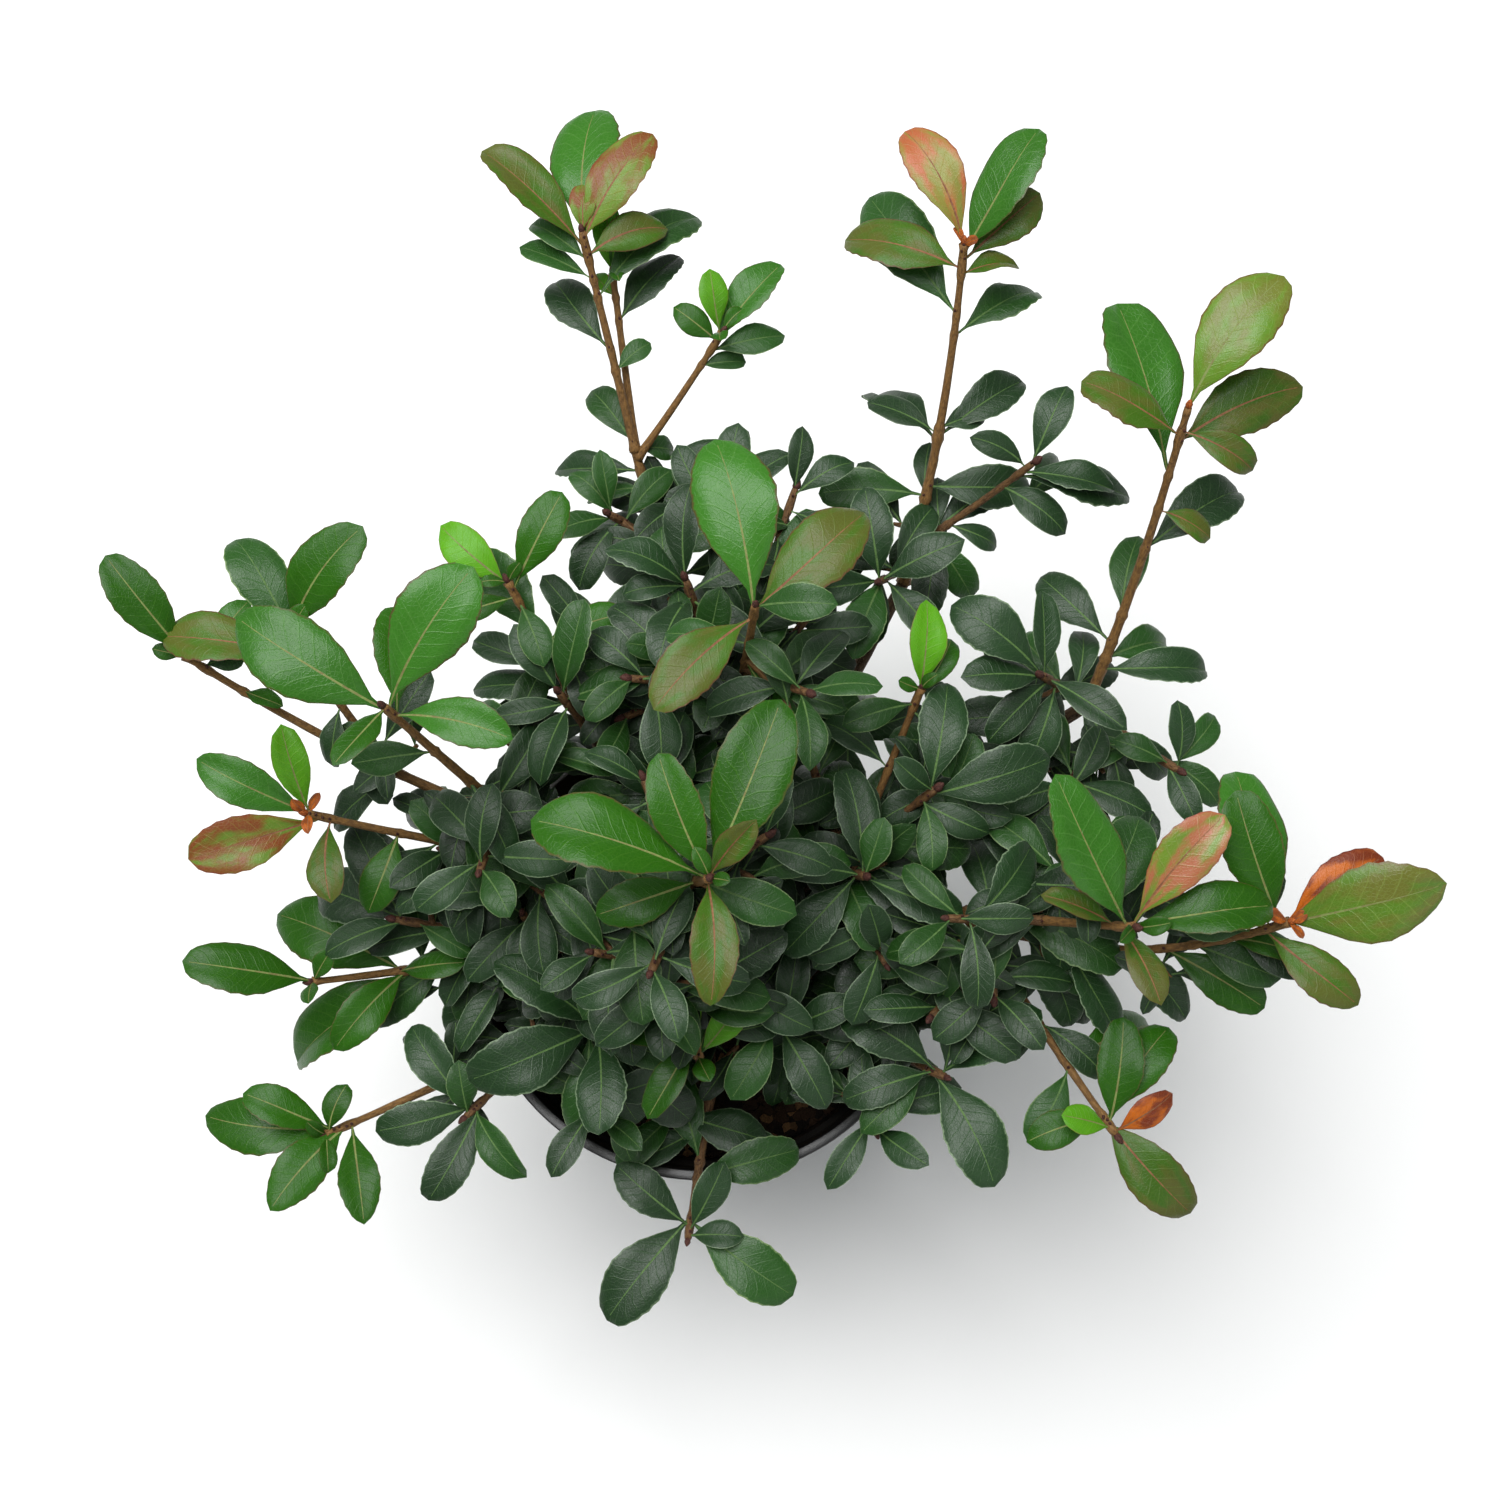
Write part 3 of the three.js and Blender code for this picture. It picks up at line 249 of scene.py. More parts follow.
@dataclass(frozen=True)
class Pot:
    """The thin round nursery pot, open at the top, with drain slots at its heel."""

    height: float = 215.0
    top_radius: float = 115.0
    foot_radius: float = 90.0
    wall: float = 2.4
    floor: float = 2.5
    band_height: float = 27.0
    band_step: float = 3.0
    lip_height: float = 6.0
    lip_out: float = 2.5
    slot_count: int = 8
    slot_width: float = 11.0
    slot_height: float = 5.0
    slot_depth: float = 14.0
    turns: int = 128
    edge_round: float = 0.7
    edge_segments: int = 3
    edge_from: float = 0.3
    crease: float = 40.0
    plastic: Triple = (19, 19, 21)
    dust: Triple = (128, 120, 106)
    dusting: float = 0.1
    grain_depth: float = 0.00005

    def wall_radius(self, z: float) -> float:
        """The outer radius of the plain wall at a height."""
        widening = self.top_radius - self.lip_out - self.band_step - self.foot_radius
        return self.foot_radius + widening * z / self.height

    def outline(self) -> list[Pair]:
        """Radius and height of each corner, from the middle of the underside over the rim to the floor."""
        band = self.height - self.band_height
        lip = self.height - self.lip_height
        step = self.band_step
        inner = self.wall_radius(self.height) + step - self.wall
        return [
            (0, 0),
            (self.foot_radius, 0),
            (self.wall_radius(band), band),
            (self.wall_radius(band) + step, band + step),
            (self.wall_radius(lip) + step, lip),
            (self.top_radius, lip + 1),
            (self.top_radius, self.height),
            (inner, self.height),
            (self.wall_radius(band) + step - self.wall, band + step),
            (self.wall_radius(band) - self.wall, band),
            (self.wall_radius(self.floor) - self.wall, self.floor),
            (0, self.floor),
        ]

    def slots(self) -> Object:
        """The boxes that cut the drain slots."""
        bm = bmesh.new()
        for k in range(self.slot_count):
            turn = Matrix.Rotation(2 * math.pi * (k + 0.5) / self.slot_count, 4, "Z")
            place = Matrix.Translation((self.foot_radius * MM, 0, 0))
            size = Matrix.Diagonal((self.slot_depth * MM, self.slot_width * MM, 2 * self.slot_height * MM, 1))
            bmesh.ops.create_cube(bm, size=1, matrix=turn @ place @ size)
        return add_object("slot_cutter", new_mesh("slot_cutter", bm))

    def body(self) -> Mesh:
        """The pot, turned from its outline with its edges rounded."""
        bm = turned(self.outline(), self.turns)
        rings = [e for e in bm.edges if len(e.link_faces) == 2 and e.calc_face_angle(0) > self.edge_from
                 and abs(e.verts[0].co.z - e.verts[1].co.z) < LEVEL]
        bmesh.ops.bevel(bm, geom=rings, offset=self.edge_round * MM, offset_type="OFFSET",
                        segments=self.edge_segments, profile=0.5, affect="EDGES", material=-1,
                        clamp_overlap=True)
        return new_mesh("pot_body", smooth(bm))

    def build(self, effect: "PlasticEffect") -> None:
        """Adds the pot in place of its solid."""
        values = {**shades(Plastic=self.plastic, Dust=self.dust), "Dusting": self.dusting}
        mesh = self.body()
        plastic = effect.dress("pot_plastic", on_object, values, self.grain_depth, specular_ior_level=0.5)
        mesh.materials.append(plastic)
        pot = place_piece("pot_body", mesh, ["pot"])
        cutter = self.slots()
        cut = pot.modifiers.new("drain_slots", "BOOLEAN")
        cut.operation = "DIFFERENCE"
        cut.solver = "EXACT"
        cut.object = cutter
        shape = bpy.data.meshes.new_from_object(pot.evaluated_get(bpy.context.evaluated_depsgraph_get()))
        pot.modifiers.clear()
        pot.data = shape
        shape.set_sharp_from_angle(angle=math.radians(self.crease))
        bpy.data.objects.remove(cutter)


@dataclass(frozen=True)
class Soil:
    """The potting mix: a low crown of bark crumbs with loose chips on it."""

    top: float = 170.0
    fall: float = 4.0
    crown_radius: float = 20.0
    seat: float = 0.3
    turns: int = 120
    rings: int = 34
    chips: int = 340
    chip_length: Pair = (4.0, 11.0)
    chip_width: Pair = (0.3, 0.3)
    chip_thickness: Pair = (1.2, 1.0)
    chip_from: float = 16.0
    chip_inset: float = 8.0
    chip_sunk: float = 0.9
    chip_lean: float = 0.7
    chip_ripple: Pair = (700.0, 0.0007)
    skin: float = 0.5
    lump: float = 2.2
    lump_scale: float = 160.0
    crumb_scale: float = 420.0
    crumb_share: float = 0.6
    mix_scale: float = 230.0
    mix_bump: float = 0.0015
    mix_gloss: float = 0.2
    chip_scale: float = 90.0
    chip_bump: float = 0.0005
    chip_gloss: float = 0.25
    dark: Triple = (24, 18, 14)
    brown: Triple = (58, 40, 27)
    pale: Triple = (140, 104, 68)

    def surface(self, r: float) -> float:
        """The height of the smooth surface at a radius."""
        reach = self.rim_radius()
        return self.top - self.fall * max(0.0, (r - self.crown_radius) / (reach - self.crown_radius))

    def rim_radius(self) -> float:
        """The radius where the surface meets the pot's wall."""
        return POT.wall_radius(self.top - self.fall) - POT.wall - self.seat

    def body(self, material: Material) -> Mesh:
        """The mix down to the pot's floor, with a lumpy surface below its smooth height.

        Args:
            material: Its material.

        Returns:
            The mix.
        """
        floor = POT.floor + self.seat
        radii = [self.rim_radius() * k / self.rings for k in range(self.rings + 1)]
        corners = [(r, self.surface(r)) for r in radii]
        corners += [(POT.wall_radius(floor) - POT.wall - self.seat, floor), (0.0, floor)]
        bm = turned(corners, self.turns)
        for vert in bm.verts:
            if vert.co.z > (self.top - self.fall - self.skin) * MM:
                rough = relief.noise(vert.co * self.lump_scale)
                rough += self.crumb_share * relief.noise(vert.co * self.crumb_scale)
                vert.co.z -= self.lump * MM * (0.5 + 0.5 * max(-1.0, min(1.0, rough)))
        return new_mesh("soil_body", smooth(bm), material)

    def loose_chips(self, material: Material) -> Mesh:
        """Flat splinters of bark at their own angles. Their fine ripple differs a little in each run.

        Args:
            material: Their material.

        Returns:
            The joined chips.
        """
        bm = bmesh.new()
        scale, ripple = self.chip_ripple
        for k in range(self.chips):
            far, way, long, up, nod, tilt, turn, wide, thick = (noise(k, j, Draw.CHIP) for j in range(9))
            r = (self.rim_radius() - self.chip_inset) * math.sqrt(far)
            if r < self.chip_from:
                continue
            angle = 2 * math.pi * way
            length = within(self.chip_length, long ** 2)
            width = length * within(self.chip_width, wide)
            height = self.surface(r) - self.chip_sunk + up
            place = Vector((r * math.cos(angle), r * math.sin(angle), height))
            lean = Euler((self.chip_lean * (nod - 0.5), self.chip_lean * (tilt - 0.5), FULL_TURN * turn))
            size = Matrix.Diagonal((length, width, within(self.chip_thickness, thick), 1))
            matrix = Matrix.Scale(MM, 4) @ Matrix.Translation(place) @ lean.to_matrix().to_4x4() @ size
            for vert in bmesh.ops.create_cube(bm, size=1, matrix=matrix)["verts"]:
                vert.co += Vector(relief.noise_vector(vert.co * scale)) * ripple
        return new_mesh("bark_chips", bm, material)

    def build(self, effect: "CrumbEffect") -> None:
        """Adds the mix in place of its solid, and the chips."""
        values = shades(Dark=self.dark, Brown=self.brown, Pale=self.pale)
        mix = effect.dress("potting_mix", on_object, {**values, "Scale": self.mix_scale}, self.mix_bump,
                           specular_ior_level=self.mix_gloss)
        chips = effect.dress("bark_chips", on_object, {**values, "Scale": self.chip_scale}, self.chip_bump,
                             specular_ior_level=self.chip_gloss)
        place_piece("soil_body", self.body(mix), ["soil"])
        place_piece("bark_chips", self.loose_chips(chips))


POT = Pot()
SOIL = Soil()


class Age(Enum):
    """Whether a shoot is this year's, with bright leaves, or an older one."""

    YOUNG = "young"
    OLD = "old"


class Tone(Enum):
    """Leaf colours, each with the letter that the tables use."""

    DARK = "K"
    DEEP = "D"
    FRESH = "F"
    BRIGHT = "B"
    LIME = "L"
    YELLOW = "Y"
    OLIVE = "O"
    BLUSH = "H"
    SALMON = "S"
    RUST = "R"
    TINGED = "T"
    AMBER = "A"


@dataclass(frozen=True)
class Bough:
    """A bough's name, what it springs from and where, its tip, the sag of its middle, and its radii."""

    name: str
    source: str
    share: float
    tip: Triple
    sag: float
    butt: float
    end: float


@dataclass(frozen=True)
class Shoot:
    """A leafy shoot: its tip, the bow of its middle, the leaves of its fan and those down its stem.

    A fan leaf has a bearing in degrees and a length. A stem leaf also has its share down the stem.
    The tones are letters for the fan's leaves and then the stem's, as far as they go. A rusty shoot has
    an orange bud, and a shoot may have some small unopened leaves at its tip.
    """

    age: Age
    tip: Triple
    bow: Triple
    fork: float | None = None
    tones: str = ""
    rusty: bool = False
    unopened: int = 2
    fan: tuple[tuple[float, float], ...] = ()
    stem: tuple[tuple[float, float, float], ...] = ()


@dataclass(frozen=True)
class Spray:
    """A mass of leaves: its node, the bough that carries it, its plain twigs and its shoots."""

    name: str
    bough: str
    twigs: int
    shoots: tuple[Shoot, ...]


BOUGHS = (
    Bough("bough_back", "trunk", 0.97, (98, 168, 272), -38, 5, 3),
    Bough("bough_left", "trunk", 0.86, (-60, 28, 274), -18, 5.2, 3.8),
    Bough("bough_right", "trunk", 0.8, (122, 2, 286), -34, 5, 3.4),
    Bough("bough_back_left", "trunk", 0.6, (-20, 180, 274), -34, 5, 3),
    Bough("bough_back_right", "trunk", 0.46, (182, 102, 286), -40, 5.2, 3.2),
    Bough("bough_front_left", "trunk", 0.62, (-64, -42, 238), -10, 4.4, 3.2),
    Bough("bough_left_low", "trunk", 0.36, (-72, -8, 250), -18, 4.2, 3),
    Bough("bough_front", "trunk", 0.26, (4, -72, 226), -12, 4, 2.8),
    Bough("bough_front_right", "trunk", 0.42, (62, -42, 248), -16, 4.2, 3),
    Bough("bough_left_outer", "bough_left", 0.98, (-82, 40, 306), 4, 3.6, 3),
    Bough("bough_left_back", "bough_left", 0.4, (-42, 74, 288), -6, 3.6, 2.8),
    Bough("bough_back_inner", "bough_back", 0.22, (16, 94, 294), 4, 3.8, 2.9),
    Bough("bough_right_inner", "bough_right", 0.28, (58, 24, 286), 6, 3.6, 2.9),
    Bough("bough_centre", "trunk", 1, (-8, 14, 300), 6, 4.4, 3.2),
)

SPRAYS = (
    Spray("spray_back_left", "bough_back_left", 0, (
        Shoot(Age.YOUNG, (-53, 297, 378), (0, 0, -14), tones="TTBOODDDK", unopened=0,
              fan=((90, 24), (56, 59), (88, 74), (140, 64), (24, 42)),
              stem=((0.08, 143, 36), (0.13, 157, 38), (0.18, 47, 69), (0.33, 125, 50), (0.39, 40, 22),
                    (0.62, 125, 40), (0.63, 12, 24), (0.7, 172, 46), (0.76, 186, 32), (0.82, 34, 48),
                    (0.95, 150, 44))),
        Shoot(Age.YOUNG, (-41, 291, 351), (0, 0, -4), fork=0.36, tones="LLK",
              fan=((88, 37), (135, 18)),
              stem=((0.26, 53, 48),)),
        Shoot(Age.YOUNG, (10, 261, 351), (0, 0, -4), fork=0.34, tones="LFBD",
              fan=((99, 31), (147, 26), (50, 50), (16, 38)),
              stem=((0.25, 6, 22),)),
        Shoot(Age.OLD, (-44, 190, 306), (0, 0, -2), fork=0.06,
              fan=((100, 32), (136, 32), (204, 38), (240, 42), (50, 36)),
              stem=((0.5, 206, 36),)),
        Shoot(Age.OLD, (12, 190, 314), (0, 0, -2), fork=0.06,
              fan=((80, 42), (34, 44), (345, 38), (120, 38), (290, 42)),
              stem=((0.5, 20, 42),)),
    )),
    Spray("spray_back", "bough_back", 0, (
        Shoot(Age.YOUNG, (117, 281, 394), (8, 0, -12), tones="SBOOODDKKKK", rusty=True,
              fan=((118, 61), (58, 64), (40, 47), (157, 59)),
              stem=((0.08, 8, 28), (0.18, 121, 76), (0.24, 35, 52), (0.5, 26, 26), (0.53, 37, 54),
                    (0.52, 152, 38), (0.54, 128, 58), (0.68, 3, 54), (0.71, 178, 52), (0.72, 84, 30),
                    (0.95, 60, 40))),
        Shoot(Age.OLD, (153, 202, 338), (0, 0, -6), fork=0.12,
              fan=((66, 42), (160, 32), (345, 46), (353, 58)),
              stem=((0.25, 322, 40), (0.7, 344, 30), (0.76, 120, 30), (0.85, 310, 40))),
        Shoot(Age.OLD, (82, 150, 322), (0, 0, 0), fork=0.05,
              fan=((100, 46), (20, 44), (190, 46), (250, 46), (310, 42)),
              stem=((0.5, 60, 42), (0.7, 160, 42))),
    )),
    Spray("spray_back_right", "bough_back_right", 0, (
        Shoot(Age.YOUNG, (206, 194, 412), (6, 0, -16), tones="YOOOBOKD", rusty=True, unopened=0,
              fan=((53, 69), (334, 38)),
              stem=((0.08, 152, 50), (0.1, 24, 60), (0.2, 104, 82), (0.3, 335, 28), (0.43, 34, 60),
                    (0.66, 75, 44), (0.76, 130, 50), (0.82, 20, 44), (0.86, 2, 54), (0.96, 240, 40))),
    )),
    Spray("spray_centre_right", "bough_back_right", 0, (
        Shoot(Age.OLD, (152, 100, 338), (0, 0, 2),
              fan=((146, 56), (92, 40), (186, 44), (320, 44), (225, 42)),
              stem=((0.3, 250, 44), (0.5, 120, 40), (0.7, 60, 40), (0.75, 300, 42))),
    )),
    Spray("spray_right_back", "bough_back_right", 1, (
        Shoot(Age.OLD, (216, 62, 316), (0, 0, -8),
              fan=((90, 32), (48, 33), (160, 30), (290, 34), (322, 36)),
              stem=((0.4, 200, 36), (0.7, 320, 40))),
    )),
    Spray("spray_crown", "bough_back_inner", 3, (
        Shoot(Age.YOUNG, (25, 108, 408), (0, 0, -8), tones="DOBO", unopened=0,
              fan=((353, 38), (43, 66), (103, 78), (225, 58)),
              stem=((0.3, 170, 38), (0.45, 300, 48), (0.6, 70, 46), (0.75, 200, 46), (0.9, 20, 44))),
    )),
    Spray("spray_back_inner", "bough_back_inner", 2, (
        Shoot(Age.OLD, (-6, 142, 346), (0, 0, -8),
              fan=((88, 46), (190, 32), (159, 46), (20, 46), (250, 48), (310, 44)),
              stem=((0.4, 130, 44), (0.7, 350, 46))),
        Shoot(Age.OLD, (44, 196, 322), (0, 0, -4), fork=0.2,
              fan=((80, 32), (30, 36), (150, 38), (330, 38)),
              stem=((0.4, 60, 38), (0.7, 200, 40))),
    )),
    Spray("spray_left_back", "bough_left_back", 2, (
        Shoot(Age.OLD, (-62, 92, 338), (0, 0, -2),
              fan=((125, 38), (73, 48), (13, 40), (194, 34), (252, 44)),
              stem=((0.5, 330, 42),)),
        Shoot(Age.YOUNG, (-84, 138, 354), (0, 0, -6), fork=0.25, tones="LF",
              fan=((141, 42), (60, 50), (200, 30), (300, 34)),
              stem=((0.34, 127, 54), (0.36, 20, 42), (0.5, 160, 42), (0.62, 178, 46), (0.7, 200, 44))),
    )),
    Spray("spray_left_upper", "bough_left_outer", 1, (
        Shoot(Age.YOUNG, (-123, 63, 415), (0, 0, -4), tones="FBBBF", unopened=0,
              fan=((240, 36), (54, 70), (150, 75), (346, 52), (92, 48)),
              stem=((0.35, 190, 36), (0.6, 300, 42), (0.8, 60, 44))),
    )),
    Spray("spray_far_left", "bough_left_outer", 1, (
        Shoot(Age.YOUNG, (-220, 100, 366), (0, -6, -24), tones="FB",
              fan=((129, 55), (62, 36)),
              stem=((0.05, 6, 20), (0.16, 340, 20), (0.5, 300, 26), (0.62, 215, 42), (0.84, 190, 42),
                    (0.9, 40, 38))),
        Shoot(Age.YOUNG, (-172, 105, 380), (0, 0, -6), fork=0.42, tones="FDO",
              fan=((48, 60), (120, 57), (173, 62)),
              stem=((0.5, 260, 30),)),
    )),
    Spray("spray_left", "bough_left", 2, (
        Shoot(Age.YOUNG, (-170, 37, 338), (0, 0, -14), tones="LBTO", rusty=True, unopened=3,
              fan=((105, 43), (158, 58), (203, 61), (275, 40)),
              stem=((0.32, 250, 40), (0.48, 222, 44), (0.7, 237, 42), (0.6, 130, 38))),
    )),
    Spray("spray_left_inner", "bough_left_low", 2, (
        Shoot(Age.OLD, (-80, 0, 298), (0, 0, 0),
              fan=((157, 28), (328, 34), (265, 26), (227, 40), (60, 36)),
              stem=()),
        Shoot(Age.OLD, (-138, -2, 294), (0, 0, -4), fork=0.2,
              fan=((60, 36), (120, 52), (203, 42), (158, 58), (330, 30)),
              stem=((0.4, 190, 44), (0.6, 240, 40))),
    )),
    Spray("spray_left_low", "bough_left_low", 1, (
        Shoot(Age.YOUNG, (-176, -29, 284), (0, 0, -12), tones="FFFFF",
              fan=((174, 61),),
              stem=((0.34, 4, 38), (0.36, 156, 72), (0.38, 232, 50), (0.42, 212, 80), (0.44, 100, 44),
                    (0.55, 215, 50), (0.7, 250, 44), (0.75, 120, 44))),
    )),
    Spray("spray_front_left", "bough_front_left", 0, (
        Shoot(Age.YOUNG, (-171, -96, 262), (0, 0, -14), tones="FFFF",
              fan=((70, 25), (157, 46), (175, 66), (232, 51)),
              stem=((0.1, 285, 50), (0.8, 180, 40))),
    )),
    Spray("spray_front_corner", "bough_front_left", 0, (
        Shoot(Age.OLD, (-107, -88, 264), (0, 0, 4),
              fan=((98, 28), (127, 51), (307, 43), (196, 49), (243, 51)),
              stem=((0.6, 340, 42), (0.8, 300, 40))),
    )),
    Spray("spray_front_inner", "bough_front_left", 2, (
        Shoot(Age.OLD, (-45, -50, 280), (0, 0, -2),
              fan=((50, 32), (148, 60), (274, 54), (205, 66), (340, 44)),
              stem=((0.35, 264, 52), (0.5, 292, 56), (0.7, 310, 44))),
    )),
    Spray("spray_front", "bough_front", 0, (
        Shoot(Age.OLD, (-6, -142, 238), (0, 0, -6),
              fan=((0, 28), (62, 38), (141, 46), (325, 60), (230, 62)),
              stem=((0.4, 15, 52), (0.5, 110, 50), (0.75, 205, 44), (0.8, 335, 42))),
    )),
    Spray("spray_front_right", "bough_front_right", 1, (
        Shoot(Age.OLD, (110, -72, 288), (0, 0, -10),
              fan=((83, 46), (33, 56), (149, 54), (198, 46), (297, 60), (223, 44)),
              stem=((0.6, 320, 46), (0.8, 190, 46))),
    )),
    Spray("spray_right", "bough_right", 3, (
        Shoot(Age.YOUNG, (178, -20, 380), (0, 0, -2), tones="HBFOO",
              fan=((50, 60), (118, 71), (8, 64), (291, 38), (157, 34)),
              stem=((0.25, 62, 56), (0.5, 200, 42), (0.75, 334, 58), (0.85, 100, 42), (0.9, 290, 46))),
    )),
    Spray("spray_far_right", "bough_right", 1, (
        Shoot(Age.YOUNG, (244, -16, 370), (0, -24, -26), tones="RFYBO", rusty=True, unopened=3,
              fan=((33, 50), (112, 61), (9, 71), (98, 70), (318, 50)),
              stem=((0.1, 173, 32), (0.18, 346, 34), (0.26, 338, 40), (0.36, 329, 52), (0.5, 60, 38),
                    (0.52, 318, 48), (0.66, 300, 50), (0.8, 280, 48))),
    )),
    Spray("spray_right_low", "bough_right", 1, (
        Shoot(Age.YOUNG, (182, -98, 302), (0, 0, -8), tones="RLFFFO", unopened=0,
              fan=((31, 32), (168, 26), (82, 48), (55, 52), (197, 37), (312, 60)),
              stem=((0.3, 240, 40), (0.34, 22, 54), (0.5, 320, 40), (0.66, 40, 46), (0.8, 170, 42))),
    )),
    Spray("spray_right_inner", "bough_right_inner", 2, (
        Shoot(Age.OLD, (73, 10, 334), (0, 0, -2),
              fan=((71, 28), (99, 50), (178, 38), (339, 50), (226, 50)),
              stem=((0.6, 290, 46),)),
    )),
    Spray("spray_middle", "bough_right_inner", 3, (
        Shoot(Age.OLD, (104, 48, 338), (0, 0, -8),
              fan=((150, 26), (80, 54), (15, 60), (275, 34), (335, 36)),
              stem=((0.6, 210, 42),)),
        Shoot(Age.YOUNG, (98, 92, 344), (0, 0, -4), fork=0.3, tones="LF",
              fan=((85, 42), (60, 34), (200, 36), (300, 36)),
              stem=((0.5, 140, 40),)),
    )),
    Spray("spray_centre", "bough_centre", 3, (
        Shoot(Age.YOUNG, (7, -5, 408), (0, 0, -6), tones="OFFFO",
              fan=((45, 34), (113, 54), (67, 78), (163, 76), (272, 52)),
              stem=((0.3, 340, 44), (0.4, 200, 46), (0.6, 60, 48), (0.75, 300, 48), (0.9, 150, 48))),
    )),
    Spray("spray_centre_front", "bough_centre", 3, (
        Shoot(Age.YOUNG, (0, -64, 294), (0, 0, 24), tones="LLFF",
              fan=((51, 38), (115, 46), (175, 38), (240, 44)),
              stem=((0.3, 350, 40),)),
        Shoot(Age.OLD, (40, -52, 280), (0, 0, 12), fork=0.35,
              fan=((20, 40), (80, 40), (300, 46), (240, 42), (160, 34)),
              stem=((0.5, 330, 40),)),
    )),
)


def noise(i: int, j: int, k: int) -> float:
    """A fixed number from 0 to 1 for three whole numbers, the same on every run.

    Args:
        i: The number of a stem or a bark chip.
        j: The leaf's number on the stem, or a count of the chip's draws.
        k: What it is drawn for.

    Returns:
        The number.
    """
    word = 0xFFFFFFFF
    h = ((i + 11) * 374761393 ^ (j + 7) * 668265263 ^ (k + 3) * 2246822519) & word
    h = ((h ^ (h >> 13)) * 1274126177) & word
    h ^= h >> 16
    h = (h * 2654435761) & word
    return (h ^ (h >> 15)) / 4294967296.0


def unit(vector: Array) -> Array:
    """Scales a vector, or each row of vectors, to length 1."""
    return vector / np.linalg.norm(vector, axis=-1, keepdims=True)


def beside(direction: Array) -> Array:
    """A unit direction square to the given one, and level unless that one is steep."""
    return unit(np.cross(EAST if abs(direction[2]) > STEEP else UP, direction))


def middle_of(start: Array, tip: Array, bow: Sequence[float] = (0.0, 0.0, 0.0)) -> Array:
    """The middle control point of a limb that bows by the given offset."""
    return (start + tip) / 2 + np.array(bow)


@dataclass
class Limb:
    """A stretch of wood on a three-point curve, straight between its steps."""

    name: str
    start: Array
    middle: Array
    tip: Array
    butt: float
    end: float
    spray: str | None = None
    flare: float = 0.0
    young: bool = False
    steps: int = 0
    leaf_shares: list[float] = field(default_factory=list)

    def __post_init__(self) -> None:
        """Works out the length, the steps and the points between them."""
        self.length = float(np.linalg.norm(self.tip - self.start))
        step, least, most = HABIT.spray_steps if self.spray else HABIT.bough_steps
        self.steps = self.steps or max(least, min(most, math.floor(self.length / step + 0.5)))
        shares = np.linspace(0, 1, self.steps + 1)
        self.joints = self.curve(shares)
        self.centre = (self.joints.min(0) + self.joints.max(0)) / 2
        self.reach = float(np.linalg.norm(self.joints - self.centre, axis=1).max()) + self.butt + self.flare

    def curve(self, shares: Array) -> Array:
        """Points on the smooth curve at shares of its length."""
        t = np.asarray(shares, float)[..., None]
        return (1 - t) ** 2 * self.start + 2 * t * (1 - t) * self.middle + t * t * self.tip

    def directions(self, shares: Array) -> Array:
        """Unit directions of the smooth curve at shares of its length."""
        t = np.asarray(shares, float)[..., None]
        return unit((1 - t) * (self.middle - self.start) + t * (self.tip - self.middle))

    def at(self, share: float) -> Array:
        """The point on the stepped axis at a share of the length."""
        place = min(self.steps - 1e-9, max(0.0, share * self.steps))
        step = int(place)
        return self.joints[step] + (self.joints[step + 1] - self.joints[step]) * (place - step)

    def radius(self, share: float | Array) -> float | Array:
        """The wood's radius at a share of the length."""
        flare = self.flare * np.exp(-share / HABIT.trunk_flare_fade)
        return self.butt + (self.end - self.butt) * share + flare

    def frames(self, count: int) -> tuple[Array, Array, Array]:
        """Centres and two cross directions at even shares, carried along without twist.

        Args:
            count: The number of stretches between the frames.

        Returns:
            The centres and the two directions, with count + 1 rows each.
        """
        shares = np.linspace(0, 1, count + 1)
        along = self.directions(shares)
        across = [beside(along[0])]
        for direction in along[1:]:
            last = across[-1]
            across.append(unit(last - direction * last.dot(direction)))
        return self.curve(shares), np.array(across), np.cross(along, np.array(across))

    def hulls(self) -> Iterator["Hull"]:
        """A convex prism round each straight stretch.

        Yields:
            Each prism.
        """
        turns = 2 * np.pi * np.arange(HABIT.hull_sides) / HABIT.hull_sides
        rings = []
        for i, (centre, x, y) in enumerate(zip(*self.frames(self.steps))):
            r = self.radius(i / self.steps) * HABIT.hull_swell
            rings.append(centre + r * (np.outer(np.cos(turns), x) + np.outer(np.sin(turns), y)))
        for i in range(self.steps):
            along = unit(self.joints[i + 1] - self.joints[i])
            x = beside(along)
            y = np.cross(along, x)
            axes = np.array([x, y, x + y, x - y])
            yield Hull(np.vstack(rings[i:i + 2]), np.array([along, x, y]), axes, self.spray)


class Hull:
    """The points of a convex shape, with the axes that the separation test tries."""

    def __init__(self, points: Array, frame: Array, axes: Array, spray: str | None) -> None:
        """Keeps the points and works out a sphere round them."""
        self.points = points
        self.frame = frame
        self.axes = axes
        self.spray = spray
        self.centre = (points.min(0) + points.max(0)) / 2
        self.reach = float(np.linalg.norm(points - self.centre, axis=1).max())

    def clear_of(self, other: "Hull", gap: float) -> bool:
        """Whether a gap lies between this hull and another, by the separating axis test.

        Args:
            other: The other hull.
            gap: The least gap in millimetres.

        Returns:
            True if some axis shows that gap.
        """
        between = other.centre - self.centre
        crosses = np.cross(self.frame[:, None, :], other.frame[None, :, :]).reshape(-1, 3)
        axes = np.vstack([self.axes, other.axes, crosses, between[None]])
        sizes = np.linalg.norm(axes, axis=1)
        axes = axes[sizes > 1e-3] / sizes[sizes > 1e-3][:, None]
        mine = self.points @ axes.T
        theirs = other.points @ axes.T
        gaps = np.maximum(theirs.min(0) - mine.max(0), mine.min(0) - theirs.max(0))
        return bool(gaps.max() >= gap)


